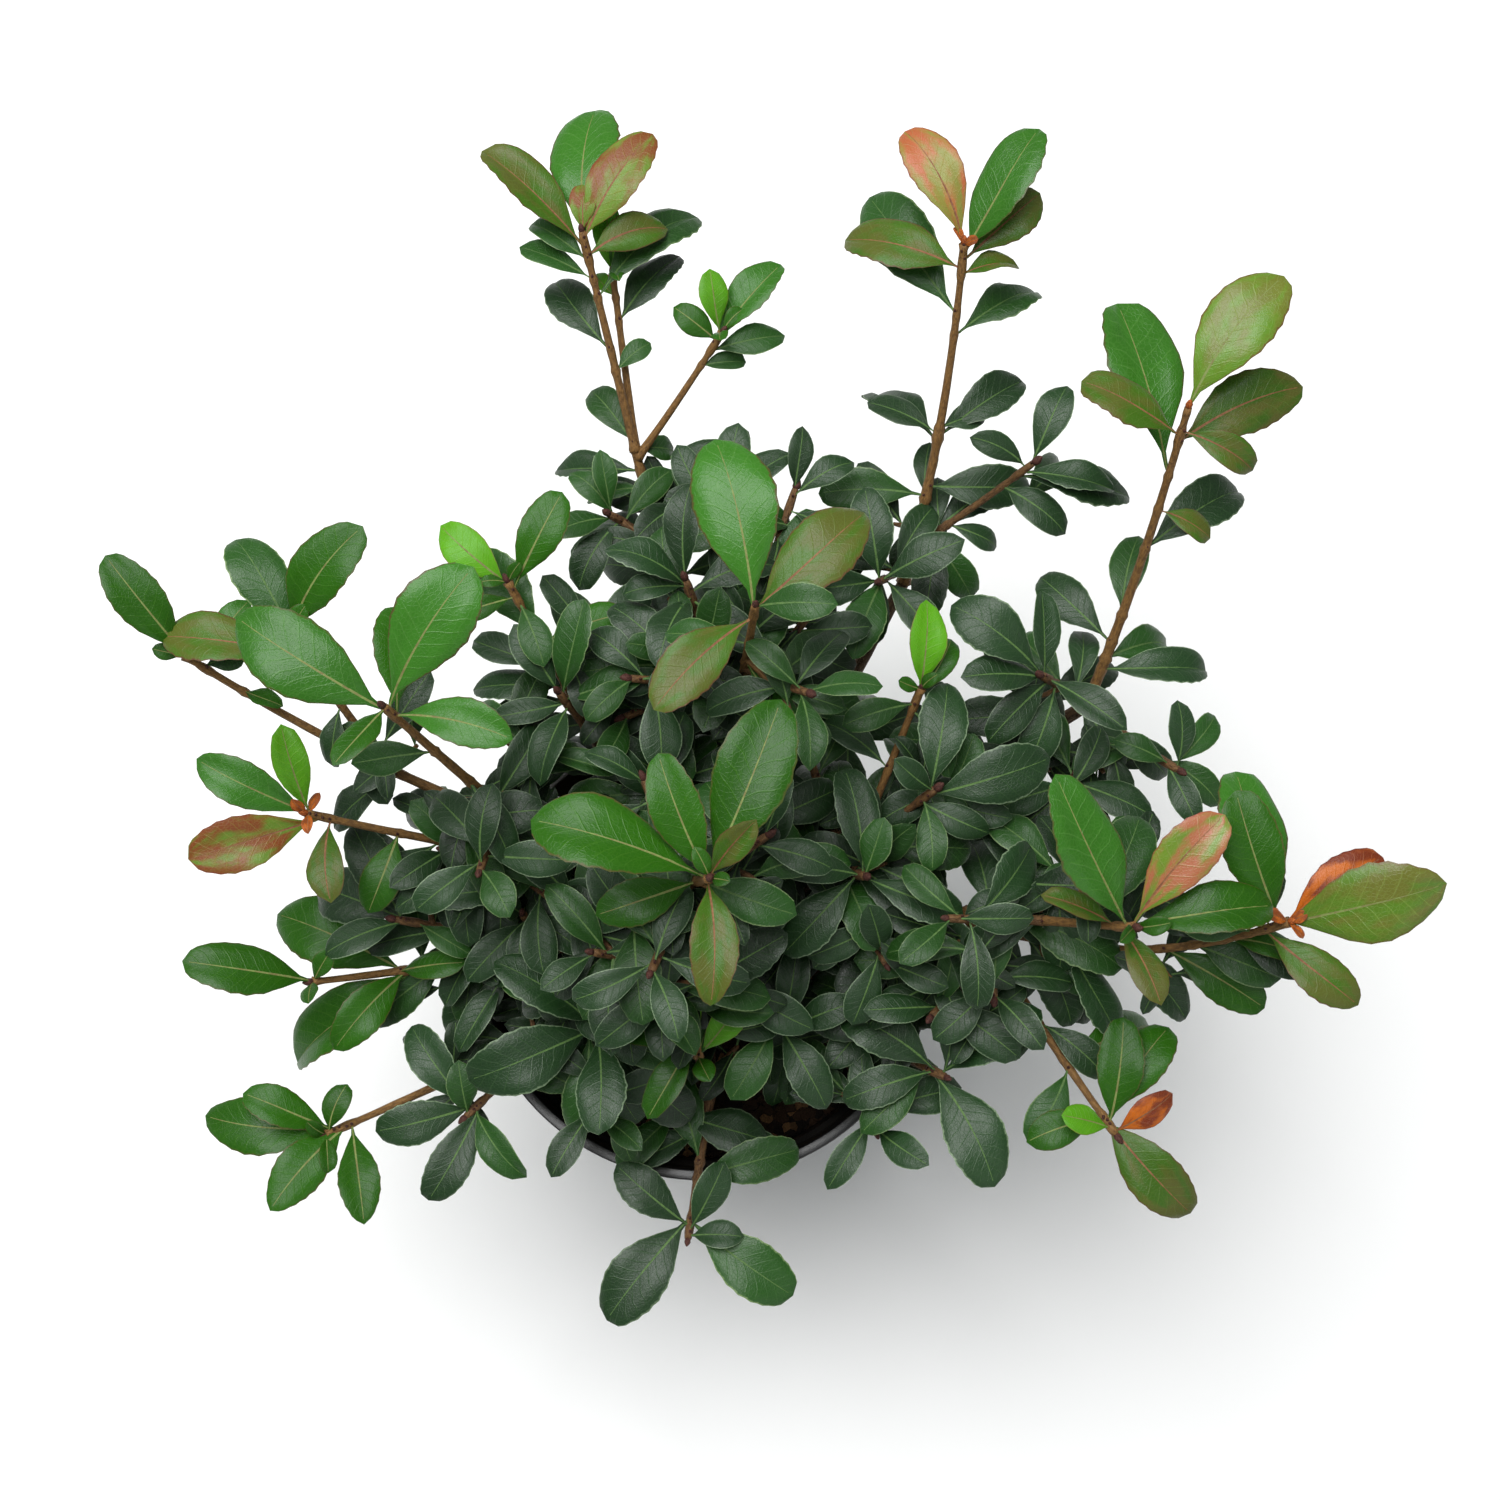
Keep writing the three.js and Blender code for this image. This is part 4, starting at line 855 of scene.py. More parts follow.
class Crowd:
    """Hulls that a new one is tested against, with their spheres in arrays for a quick first test."""

    room = 4096

    def __init__(self, hulls: Iterable[Hull] = ()) -> None:
        """Starts with the given hulls."""
        self.hulls: list[Hull] = []
        self.centres = np.empty((self.room, 3))
        self.reaches = np.empty(self.room)
        for hull in hulls:
            self.add(hull)

    def add(self, hull: Hull) -> None:
        """Adds one hull."""
        count = len(self.hulls)
        self.centres[count] = hull.centre
        self.reaches[count] = hull.reach
        self.hulls.append(hull)

    def clear_of(self, hull: Hull, gap: float,
                 counts: Callable[[Hull], bool] = lambda hull: True) -> bool:
        """Whether a hull keeps a gap to every hull of the crowd that counts.

        Args:
            hull: The new hull.
            gap: The least gap in millimetres.
            counts: Says which hulls of the crowd count, and all do unless it is given.

        Returns:
            True if none of them is nearer than the gap.
        """
        count = len(self.hulls)
        distances = np.linalg.norm(self.centres[:count] - hull.centre, axis=1)
        near = np.flatnonzero(distances <= self.reaches[:count] + hull.reach + gap)
        return all(hull.clear_of(self.hulls[i], gap) for i in near if counts(self.hulls[i]))


def profile(shares: Array, later: float = 0.0, blunter: float = 0.0) -> Array:
    """Half the blade's relative width at shares of its length: a stalk, a wedge, and a blunt tip.

    Args:
        shares: The shares.
        later: How much further out than usual the blade is widest.
        blunter: How much fuller than usual its tip is.

    Returns:
        A width for each share, from 0 to 1.
    """
    s = np.asarray(shares, float)
    x = np.clip((s - HABIT.stalk_share) / (1 - HABIT.stalk_share), 0, 1)
    fullness = HABIT.base_fullness + (HABIT.tip_fullness - blunter - HABIT.base_fullness) * x
    blade = np.sin(np.pi * x ** (HABIT.widest_power + later)).clip(0) ** fullness
    return np.where(s < HABIT.stalk_share, HABIT.stalk_width, np.maximum(HABIT.stalk_width, blade))


@dataclass(frozen=True)
class Leaf:
    """A leaf that leaves its twig at a pitch, curls downward, and folds up along its midrib."""

    spray: str
    base: Array
    bearing: float
    pitch: float
    roll: float
    length: float
    width: float
    curl: float
    fold: float
    tone: Tone
    seed: int
    draw: int
    # A finer leaf inside the crown or low over the soil, whose colour gets painted shade
    inner: bool = False

    def drawn(self, what: Draw) -> float:
        """One of the leaf's own fixed numbers from 0 to 1."""
        return noise(self.seed, self.draw, what)

    def trials(self) -> Iterator["Leaf"]:
        """The same leaf in each of the positions that it tries."""
        for turn, lift in TRIES:
            bearing = self.bearing + math.radians(turn)
            yield replace(self, bearing=bearing, pitch=self.pitch + math.radians(lift))

    def frame(self, shares: float | Array) -> tuple[Array, Array, Array, Array]:
        """Centre, direction, side and upper normal at shares of the length.

        Args:
            shares: One share or an array of them.

        Returns:
            Four arrays with a last axis of three.
        """
        s = np.asarray(shares, float)[..., None]
        ahead = np.array([math.cos(self.bearing), math.sin(self.bearing), 0.0])
        side = np.array([-math.sin(self.bearing), math.cos(self.bearing), 0.0])
        angle = self.pitch - self.curl * s
        bend = self.length / self.curl
        out = bend * (math.sin(self.pitch) - np.sin(angle))
        rise = bend * (np.cos(angle) - math.cos(self.pitch))
        centre = self.base + out * ahead + rise * UP
        along = np.cos(angle) * ahead + np.sin(angle) * UP
        top = -np.sin(angle) * ahead + np.cos(angle) * UP
        across = math.cos(self.roll) * side + math.sin(self.roll) * top
        normal = math.cos(self.roll) * top - math.sin(self.roll) * side
        return centre, along, across, normal

    def edge(self, share: float, reach: float) -> Array:
        """A point of the blade at a share of its length and width.

        Args:
            share: Its share of the length.
            reach: Its share of half the width, with the side as its sign.

        Returns:
            The point.
        """
        centre, _, across, normal = self.frame(share)
        w = 0.5 * self.width * float(profile(share)) * reach
        return centre + w * math.cos(self.fold) * across + abs(w) * math.sin(self.fold) * normal

    def half_thickness(self) -> float:
        """Half the solid's thickness at its middle."""
        return 0.5 * max(HABIT.leaf_thickness, self.length / HABIT.leaf_slender)

    def points(self) -> Array:
        """The corners of the plain leaf solid, which the hull is made of."""
        foot, along, _, normal = self.frame(0.0)
        middle, _, _, upper = self.frame(HABIT.middle_share)
        half = self.half_thickness()
        full = self.length >= HABIT.full_leaf
        shares, reach = (HABIT.full_corners, 1.0) if full else ((HABIT.plain_corner,), HABIT.plain_widening)
        corners = [self.edge(s, t) for t in (reach, -reach) for s in shares]
        stalk = [foot + HABIT.stalk_out * along + t * normal for t in (HABIT.stalk_half, -HABIT.stalk_half)]
        faces = [middle + half * upper, middle - half * upper]
        return np.array([*stalk, *corners, *faces, self.frame(1.0)[0]])

    def hull(self) -> Hull:
        """The whole leaf's hull."""
        _, a, b, n = self.frame(0.5)
        roll, nod, turn = HABIT.hull_leans
        axes = [n, b, a, n + roll * b, n - roll * b, n + nod * a, n - nod * a, b + turn * a, b - turn * a]
        return Hull(self.points(), np.array([a, b, n]), np.array(axes), self.spray)

    def blade(self) -> Hull:
        """The hull of the blade without its stalk, for the test against leaves of the same spray."""
        centre, _, _, upper = self.frame(HABIT.blade_middle)
        half = self.half_thickness()
        reach = HABIT.blade_start_reach
        points = [self.edge(HABIT.blade_start, t) for t in (reach, -reach)]
        points += [self.edge(HABIT.plain_corner, t) for t in (1.0, -1.0)]
        points += [centre + half * upper, centre - half * upper, self.frame(1.0)[0]]
        _, a, b, n = self.frame(HABIT.blade_axes)
        roll, nod, _ = HABIT.hull_leans
        axes = [n, b, a, n + roll * b, n - roll * b, n + nod * a, n - nod * a]
        return Hull(np.array(points), np.array([a, b, n]), np.array(axes), self.spray)


def clear_of_pot(points: Array) -> bool:
    """Whether points keep above the rim, outside the wall, or inside it and off the soil.

    Args:
        points: The points in millimetres.

    Returns:
        True if one of the three holds.
    """
    lowest = float(points[:, 2].min())
    reach = np.hypot(points[:, 0], points[:, 1])
    outside = reach.min() > POT.top_radius + HABIT.pot_outside
    inside = reach.max() < POT.top_radius - HABIT.pot_inside
    off_soil = lowest > SOIL.top + HABIT.off_soil
    return bool(lowest > POT.height + HABIT.pot_above or outside or (inside and off_soil))


def stretch_gap(a0: Array, a1: Array, b0: Array, b1: Array) -> tuple[float, float, float]:
    """The distance of two straight stretches, with the share along each where they are nearest.

    Args:
        a0: The start of one stretch.
        a1: Its end.
        b0: The start of the other.
        b1: Its end.

    Returns:
        The distance and the two shares.
    """
    d1, d2, r = a1 - a0, b1 - b0, a0 - b0
    a, e, f, c, b = d1 @ d1, d2 @ d2, d2 @ r, d1 @ r, d1 @ d2
    spread = a * e - b * b
    s = min(1.0, max(0.0, (b * f - c * e) / spread)) if spread > 1e-9 else 0.0
    t = (b * s + f) / e
    if t < 0:
        t, s = 0.0, min(1.0, max(0.0, -c / a))
    elif t > 1:
        t, s = 1.0, min(1.0, max(0.0, (b - c) / a))
    return float(np.linalg.norm(a0 + d1 * s - b0 - d2 * t)), s, t


def limb_gap(a: Limb, b: Limb, enough: float) -> float:
    """The least gap between the wood of two limbs, or more than enough where they are far apart.

    Args:
        a: One limb.
        b: The other.
        enough: The gap past which their spheres are answer enough.

    Returns:
        The gap in millimetres.
    """
    apart = float(np.linalg.norm(a.centre - b.centre)) - a.reach - b.reach
    if apart > enough:
        return apart
    least = math.inf
    for i in range(a.steps):
        for j in range(b.steps):
            distance, s, t = stretch_gap(*a.joints[i:i + 2], *b.joints[j:j + 2])
            wood = a.radius((i + s) / a.steps) + b.radius((j + t) / b.steps)
            least = min(least, distance - wood)
    return least


@dataclass
class Stem:
    """A limb of a spray that carries leaves: a shoot from the tables or a plain twig."""

    spray: str
    limb: Limb
    seed: int
    shoot: Shoot | None = None
    phase: float = 0.0


def twig_tip(foot: Array, bearing: float, reach: float, rise: float) -> Array:
    """Where a twig ends, by its foot, its bearing in degrees, its reach and its rise."""
    angle = math.radians(bearing)
    return foot + np.array([math.cos(angle) * reach, math.sin(angle) * reach, rise])


def pitch_of(habit: Triple, share: float, chance: float) -> float:
    """A leaf's pitch in degrees from its habit, its place down the stem and its draw."""
    first, fall, draw = habit
    return first - fall * share + draw * (chance - 0.5)


class Shrub:
    """The whole plant's limbs and leaves, grown once and then dressed by the other classes."""

    def __init__(self) -> None:
        """Grows the wood and the leaves of the solids. Finer twigs are added by grow_finer."""
        self.limbs: dict[str, Limb] = {"trunk": self.trunk()}
        self.grow_boughs()
        self.stems = [stem for i, spray in enumerate(SPRAYS) for stem in self.grow_spray(spray, i)]
        self.wood = Crowd(hull for limb in self.limbs.values() for hull in limb.hulls())
        self.hulls = Crowd()
        self.blades = Crowd()
        self.leaves: list[Leaf] = []
        for stem in self.stems:
            for leaf in self.wanted_leaves(stem):
                self.settle(leaf)
        self.fine_limbs: list[Limb] = []
        self.fine_leaves: list[Leaf] = []

    @staticmethod
    def trunk() -> Limb:
        """The trunk from the soil to its fork."""
        foot, middle, fork = map(np.array, (HABIT.trunk_foot, HABIT.trunk_middle, HABIT.trunk_fork))
        control = 2 * middle - middle_of(foot, fork)
        return Limb("trunk", foot, control, fork, HABIT.trunk_foot_radius, HABIT.trunk_fork_radius,
                    flare=HABIT.trunk_flare, steps=HABIT.trunk_steps)

    def grow_boughs(self) -> None:
        """Adds each bough from its share of the limb that carries it."""
        for row in BOUGHS:
            start = self.limbs[row.source].at(row.share)
            tip = np.array(row.tip, float)
            middle = middle_of(start, tip, (0, 0, row.sag))
            self.limbs[row.name] = Limb(row.name, start, middle, tip, row.butt, row.end)

    def grow_spray(self, spray: Spray, index: int) -> Iterator[Stem]:
        """Adds one spray's shoots and plain twigs.

        Args:
            spray: The row of the table.
            index: Its number, which seeds its draws.

        Yields:
            Each stem that carries leaves.
        """
        leader = None
        for number, row in enumerate(spray.shoots):
            start = leader.at(row.fork) if leader else self.limbs[spray.bough].at(1.0)
            tip = np.array(row.tip, float)
            name = f"{spray.name}_shoot_{number}"
            butt = HABIT.side_radius if leader else HABIT.leader_radius
            limb = Limb(name, start, middle_of(start, tip, row.bow), tip, butt, HABIT.tip_radius, spray.name,
                        young=row.age is Age.YOUNG)
            self.limbs[name] = limb
            leader = leader or limb
            yield Stem(spray.name, limb, index * 10 + number, row)
        for number in range(spray.twigs):
            stem = self.grow_twig(spray.name, index, leader, number)
            if stem:
                yield stem

    def grow_twig(self, spray: str, index: int, leader: Limb, number: int) -> Stem | None:
        """Adds a plain twig that turns away from other sprays, or none if no turn is free.

        Args:
            spray: The spray's name.
            index: The spray's number.
            leader: Its first shoot.
            number: The twig's number.

        Returns:
            The stem, or None.
        """
        seed = index * 10 + HABIT.twig_seed + number
        first, spread, slots = HABIT.twig_from
        start = leader.at(first + spread * number / slots)
        reach = within(HABIT.twig_reach, noise(seed, 0, Draw.TWIG_REACH))
        rise = within(HABIT.twig_rise, noise(seed, 0, Draw.TWIG_RISE))
        name = f"{spray}_twig_{number}"
        others = [limb for limb in self.limbs.values() if limb.spray != spray]
        for turn in TWIG_TURNS:
            bearing = 360 * noise(index, 0, Draw.TWIG_BEARING) + GOLDEN_TURN * number + turn
            tip = twig_tip(start, bearing, reach, rise)
            middle = middle_of(start, tip, (0, 0, -HABIT.twig_sag))
            limb = Limb(name, start, middle, tip, HABIT.twig_radius, HABIT.tip_radius, spray)
            if all(limb_gap(limb, other, HABIT.twig_gap) > HABIT.twig_gap for other in others):
                self.limbs[name] = limb
                return Stem(spray, limb, seed, phase=bearing + HABIT.twig_first_leaf)
        return None

    @staticmethod
    def drawn_leaf(stem: Stem, draw: int, share: float, bearing: float, pitch: float, length: float,
                   young: bool, tone: Tone) -> Leaf:
        """A leaf at a share of a stem, with its width, roll, curl and fold drawn from its seed.

        Args:
            stem: The stem that carries it.
            draw: The leaf's number for its draws.
            share: Its place along the stem.
            bearing: Its bearing in degrees.
            pitch: Its pitch in degrees.
            length: Its length.
            young: Whether it curls little, as young leaves do.
            tone: Its colour.

        Returns:
            The leaf.
        """
        seed = stem.seed
        broad = within(HABIT.width, noise(seed, draw, Draw.WIDTH))
        width = length * (HABIT.width_small if length < HABIT.small_leaf else broad)
        roll = math.radians(HABIT.roll_draw * (noise(seed, draw, Draw.ROLL) - 0.5))
        bend = HABIT.curl_young if young else HABIT.curl_old
        curl = math.radians(within(bend, noise(seed, draw, Draw.CURL)))
        fold = math.radians(within(HABIT.fold, noise(seed, draw, Draw.FOLD) ** 2))
        stem.limb.leaf_shares.append(share)
        return Leaf(stem.spray, stem.limb.at(share), math.radians(bearing), math.radians(pitch), roll, length,
                    width, curl, fold, tone, seed, draw)

    @staticmethod
    def tone_for(stem: Stem, place: int, young: bool, draw: int) -> Tone:
        """The colour from the table's letters, or else one drawn for the leaf's age.

        Args:
            stem: The stem that carries the leaf.
            place: The leaf's place in the letters.
            young: Whether it is this year's.
            draw: The leaf's number for its draws.

        Returns:
            The colour.
        """
        letters = stem.shoot.tones if stem.shoot else ""
        if place < len(letters) and letters[place] != ".":
            return Tone(letters[place])
        chance = noise(stem.seed, draw, Draw.TONE)
        if young:
            return Tone.FRESH if chance > HABIT.fresh_from else Tone.DEEP
        return Tone.DEEP if chance > HABIT.deep_from else Tone.DARK

    def wanted_leaves(self, stem: Stem) -> Iterator[Leaf]:
        """The leaves wanted on one stem, in the order in which they are placed.

        Args:
            stem: The stem.

        Yields:
            Each leaf before it is settled.
        """
        seed, limb, row = stem.seed, stem.limb, stem.shoot
        if row is None:
            for j in range(HABIT.twig_leaves):
                share = j / (HABIT.twig_leaves - 1)
                least, draw, inner = HABIT.twig_leaf
                length = (inner + (1 - inner) * share) * (least + draw * noise(seed, j, Draw.LEAF_LENGTH))
                place = 1 - within(HABIT.twig_depth, share) / limb.length
                pitch = pitch_of(HABIT.twig_pitch, share, noise(seed, j, Draw.PITCH))
                bearing = stem.phase + GOLDEN_TURN * j
                tone = self.tone_for(stem, 0, False, j)
                yield self.drawn_leaf(stem, j, place, bearing, pitch, length, False, tone)
            return
        young = row.age is Age.YOUNG
        for j, (bearing, length) in enumerate(row.fan):
            share = j / max(1, len(row.fan) - 1)
            place = 1 - within(HABIT.fan_depth, share) / limb.length
            pitch = pitch_of(HABIT.fan_pitch, share, noise(seed, j, Draw.PITCH))
            tone = self.tone_for(stem, j, young, j)
            yield self.drawn_leaf(stem, j, place, bearing, pitch, length, young, tone)
        for j, (down, bearing, length) in enumerate(row.stem):
            draw = HABIT.stem_draws + j
            recent = young and down <= HABIT.old_leaves_from
            place = max(HABIT.stem_start, 1 - down)
            pitch = pitch_of(HABIT.stem_pitch, down, noise(seed, j, Draw.STEM_PITCH))
            tone = self.tone_for(stem, len(row.fan) + j, recent, draw)
            yield self.drawn_leaf(stem, draw, place, bearing, pitch, length, recent, tone)

    def settle(self, leaf: Leaf) -> None:
        """Places a leaf in the first position that is clear, or drops it.

        Args:
            leaf: The leaf as wanted.
        """
        fallback = None
        gap = HABIT.clearance
        strange = lambda other: other.spray != leaf.spray
        own = lambda other: other.spray == leaf.spray
        for trial in leaf.trials():
            hull = trial.hull()
            if not clear_of_pot(hull.points) or not self.wood.clear_of(hull, gap, strange):
                continue
            if not self.hulls.clear_of(hull, gap, strange):
                continue
            blade = trial.blade()
            off_stems = self.wood.clear_of(blade, HABIT.stem_gap, own)
            if off_stems and self.blades.clear_of(blade, HABIT.leaf_gap, own):
                self.keep(trial, hull, blade)
                return
            fallback = fallback or (trial, hull, blade)
        if fallback:
            self.keep(*fallback)

    def keep(self, leaf: Leaf, hull: Hull, blade: Hull) -> None:
        """Adds a settled leaf with its hulls."""
        self.leaves.append(leaf)
        self.hulls.add(hull)
        self.blades.add(blade)

    def grow_finer(self, cover: "Cover") -> None:
        """Carries the rule to finer twigs, where the crown already covers what lies behind.

        Args:
            cover: The part of the photograph that the leaves so far cover.
        """
        for stem in list(self.stems):
            for number, start in enumerate(HABIT.fine_starts):
                self.grow_fine_twig(stem, number, start, cover)
            if stem.limb.young and stem.shoot:
                self.grow_heart(stem, stem.shoot)
        for index, spray in enumerate(SPRAYS):
            bough = Stem(spray.name, self.limbs[spray.bough], HABIT.low_seed + index)
            for number, start in enumerate(HABIT.low_starts):
                self.grow_fine_twig(bough, number, start, cover, HABIT.low_leaf)

    def grow_fine_twig(self, stem: Stem, number: int, start: float, cover: "Cover",
                       size: Pair = HABIT.fine_leaf) -> None:
        """Adds a small twig's leaves where they find room, and its wood where two or more of them do.

        Args:
            stem: The stem that carries it.
            number: The twig's number on the stem.
            start: Its place along the stem.
            cover: The part of the photograph that the leaves so far cover.
            size: The least length of its leaves and their draw.
        """
        seed = HABIT.fine_seed + stem.seed * 10 + number
        foot = stem.limb.at(start)
        bearing = 360 * noise(seed, 0, Draw.FINE_BEARING)
        reach = within(HABIT.fine_reach, noise(seed, 0, Draw.FINE_REACH))
        rise = within(HABIT.fine_rise, noise(seed, 0, Draw.FINE_RISE))
        tip = twig_tip(foot, bearing, reach, rise)
        middle = middle_of(foot, tip, (0, 0, -HABIT.fine_sag))
        limb = Limb(f"{stem.limb.name}_fine_{number}", foot, middle, tip,
                    HABIT.fine_radius, HABIT.fine_tip_radius, stem.spray, young=stem.limb.young)
        if not clear_of_pot(limb.joints) or not cover.hides(limb.joints, 0.0):
            return
        small = Stem(stem.spray, limb, seed, phase=bearing + HABIT.twig_first_leaf)
        kept = 0
        for j in range(HABIT.fine_leaves):
            share = j / (HABIT.fine_leaves - 1)
            length = within(size, noise(seed, j, Draw.LEAF_LENGTH))
            place = 1 - within(HABIT.fine_depth, share) / limb.length
            pitch = pitch_of(HABIT.twig_pitch, share, noise(seed, j, Draw.PITCH))
            tone = Tone.DEEP if noise(seed, j, Draw.TONE) > HABIT.fine_deep_from else Tone.DARK
            leaf = self.drawn_leaf(small, j, place, small.phase + GOLDEN_TURN * j, pitch, length, False, tone)
            leaf = replace(leaf, inner=True)
            less = replace(leaf, length=HABIT.fine_smaller * length, width=HABIT.fine_smaller * leaf.width)
            kept += self.squeeze(leaf, cover) or self.squeeze(less, cover)
        if kept > 1:
            self.fine_limbs.append(limb)

    def grow_heart(self, stem: Stem, shoot: Shoot) -> None:
        """Adds a shoot's small unopened leaves at the middle of its fan.

        Args:
            stem: The shoot's stem.
            shoot: Its row of the table.
        """
        seed = HABIT.heart_seed + stem.seed
        place = 1 - HABIT.heart_depth / stem.limb.length
        tone = Tone.AMBER if shoot.rusty else Tone.FRESH
        size = HABIT.bud_leaf if shoot.rusty else HABIT.heart_leaf
        small = Stem(stem.spray, stem.limb, seed)
        first, fall, spread = HABIT.heart_pitch
        for j in range(shoot.unopened):
            length = within(size, noise(seed, j, Draw.LEAF_LENGTH))
            bearing = 360 * noise(seed, 0, Draw.TWIG_BEARING) + GOLDEN_TURN * j
            pitch = first - fall * j + spread * noise(seed, j, Draw.PITCH)
            self.fine_leaves.append(self.drawn_leaf(small, j, place, bearing, pitch, length, True, tone))

    def squeeze(self, leaf: Leaf, cover: "Cover") -> bool:
        """Places a small leaf where it touches nothing and shows no new outline, or drops it.

        Args:
            leaf: The leaf as wanted.
            cover: The part of the photograph that the leaves so far cover.

        Returns:
            Whether it found room.
        """
        gap = HABIT.fine_gap
        for trial in leaf.trials():
            blade = trial.blade()
            if not clear_of_pot(blade.points) or not cover.hides(trial.points(), HABIT.fine_hidden):
                continue
            if self.wood.clear_of(blade, gap) and self.blades.clear_of(blade, gap):
                self.fine_leaves.append(trial)
                self.blades.add(blade)
                return True
        return False


@dataclass
class View:
    """The photograph's camera: its place in millimetres, its tilt from straight down, and its lens."""

    place: Triple = (22.8, -139.0, 1101.5)
    tilt: float = 15.0
    lens: float = 43.2
    sensor: float = 36.0
    photo_side: int = 1500

    def depth(self, points: Array) -> Array:
        """How far points in millimetres lie ahead of the camera."""
        lean = math.radians(self.tilt)
        return (np.asarray(points) - np.array(self.place)) @ np.array([0.0, math.sin(lean), -math.cos(lean)])

    def pixels(self, points: Array) -> Array:
        """Where points in millimetres lie in the photograph.

        Args:
            points: The points.

        Returns:
            Pixels across and down for each.
        """
        lean = math.radians(self.tilt)
        above = np.array([0.0, math.cos(lean), math.sin(lean)])
        offset = np.asarray(points) - np.array(self.place)
        depth = self.depth(points)
        zoom = self.lens / self.sensor * self.photo_side
        middle = self.photo_side / 2
        return np.stack([middle + zoom * offset[:, 0] / depth, middle - zoom * (offset @ above) / depth], -1)


class Cover:
    """How near the camera the main leaves come in each cell of the photograph.

    Finer leaves keep behind them, so that they fill no sky and hide no main leaf. Over the soil they may
    also lie open to the camera, as long as they lie low.
    """

    cell = 6
    across = (-0.85, 0.85, 9)
    along = (0.1, 0.96, 16)
    mouth_rings = 60
    mouth_turns = 240

    def __init__(self, view: View, leaves: Iterable[Leaf], foliage: "Foliage") -> None:
        """Notes the nearest blade over every cell."""
        self.view = view
        side = view.photo_side // self.cell + 2
        self.nearest = np.full((side, side), np.inf)
        across, along = np.meshgrid(np.linspace(*self.across), np.linspace(*self.along))
        for leaf in leaves:
            points = foliage.surface(leaf, across.ravel(), along.ravel())
            spots = self.spots(points)
            np.minimum.at(self.nearest, (spots[:, 0], spots[:, 1]), self.view.depth(points))
        ring = HABIT.low_radius * np.sqrt(np.linspace(0, 1, self.mouth_rings))
        turn = np.linspace(0, 2 * np.pi, self.mouth_turns)
        x, y = np.outer(ring, np.cos(turn)).ravel(), np.outer(ring, np.sin(turn)).ravel()
        mouth = np.stack([x, y, np.full(x.shape, POT.height + HABIT.low_height)], -1)
        spots = self.spots(mouth)
        np.minimum.at(self.nearest, (spots[:, 0], spots[:, 1]), self.view.depth(mouth))

    def spots(self, points: Array) -> Array:
        """The cells under points in millimetres."""
        return (self.view.pixels(points) // self.cell).astype(int).clip(0, self.nearest.shape[0] - 1)

    def hides(self, points: Array, share: float) -> bool:
        """Whether all these points lie over covered cells, and a share of them behind the main leaves.

        Args:
            points: The points in millimetres.
            share: The least share of them that lies behind.

        Returns:
            True if both hold.
        """
        spots = self.spots(points)
        front = self.nearest[spots[:, 0], spots[:, 1]]
        behind = front < self.view.depth(points)
        return bool(np.isfinite(front).all() and behind.mean() >= share)


def shader_colour(code: Triple) -> Colour:
    """The linear colour for three screen values from 0 to 255."""
    linear = (((v / 255 + 0.055) / 1.055) ** 2.4 if v > 10 else v / 255 / 12.92 for v in code)
    return (*linear, 1.0)


class Recipe:
    """A node tree with short ways to add nodes and join them."""

    def __init__(self, tree: NodeTree) -> None:
        """Keeps the tree."""
        self.tree = tree

    def node(self, kind: str, feeds: dict | None = None, **settings) -> Node:
        """Adds a node.

        Args:
            kind: Its type without the common prefix.
            feeds: For inputs by name or number, a socket to join or a value to set.
            **settings: Its properties.

        Returns:
            The node.
        """
        made = self.tree.nodes.new(f"ShaderNode{kind}")
        for name, value in settings.items():
            setattr(made, name, value)
        for name, value in (feeds or {}).items():
            if isinstance(value, NodeSocket):
                self.tree.links.new(value, made.inputs[name])
            else:
                made.inputs[name].default_value = value
        return made

    def math(self, operation: str, *values: NodeSocket | float) -> NodeSocket:
        """The result of one sum on one to three values."""
        return self.node("Math", dict(enumerate(values)), operation=operation).outputs[0]

    def times(self, first: NodeSocket | float, second: NodeSocket | float) -> NodeSocket:
        """Two values multiplied."""
        return self.math("MULTIPLY", first, second)

    def scaled(self, value: NodeSocket, factor: NodeSocket | float, more: NodeSocket | float) -> NodeSocket:
        """A value times a factor, and more added."""
        return self.math("MULTIPLY_ADD", value, factor, more)

    def less(self, first: NodeSocket | float, second: NodeSocket | float) -> NodeSocket:
        """The second value taken from the first."""
        return self.math("SUBTRACT", first, second)

    def blend(self, share: NodeSocket | float, first: NodeSocket, second: NodeSocket) -> NodeSocket:
        """A colour between two by a share."""
        return self.node("Mix", {0: share, 6: first, 7: second}, data_type="RGBA").outputs[2]

    def ease(self, value: NodeSocket, low: float, high: float) -> NodeSocket:
        """A share that eases from 0 at the low value to 1 at the high one."""
        feeds = {"Value": value, "From Min": low, "From Max": high}
        return self.node("MapRange", feeds, interpolation_type="SMOOTHSTEP").outputs["Result"]

    def noise(self, place: NodeSocket, scale: float | NodeSocket, detail: float = 2.0) -> NodeSocket:
        """Cloudy noise from 0 to 1."""
        return self.node("TexNoise", {"Vector": place, "Scale": scale, "Detail": detail}).outputs["Fac"]

    def stretch(self, place: NodeSocket, scale: Triple) -> NodeSocket:
        """Coordinates stretched by a factor each way."""
        return self.node("Mapping", {"Vector": place, "Scale": scale}).outputs["Vector"]


def new_material(name: str) -> tuple[Material, Recipe, Node]:
    """A new material with nodes.

    Args:
        name: Its name.

    Returns:
        The material, the recipe of its nodes and its shader.
    """
    material = bpy.data.materials.new(name)
    material.use_nodes = True
    recipe = Recipe(material.node_tree)
    return material, recipe, next(n for n in recipe.tree.nodes if n.type == "BSDF_PRINCIPLED")


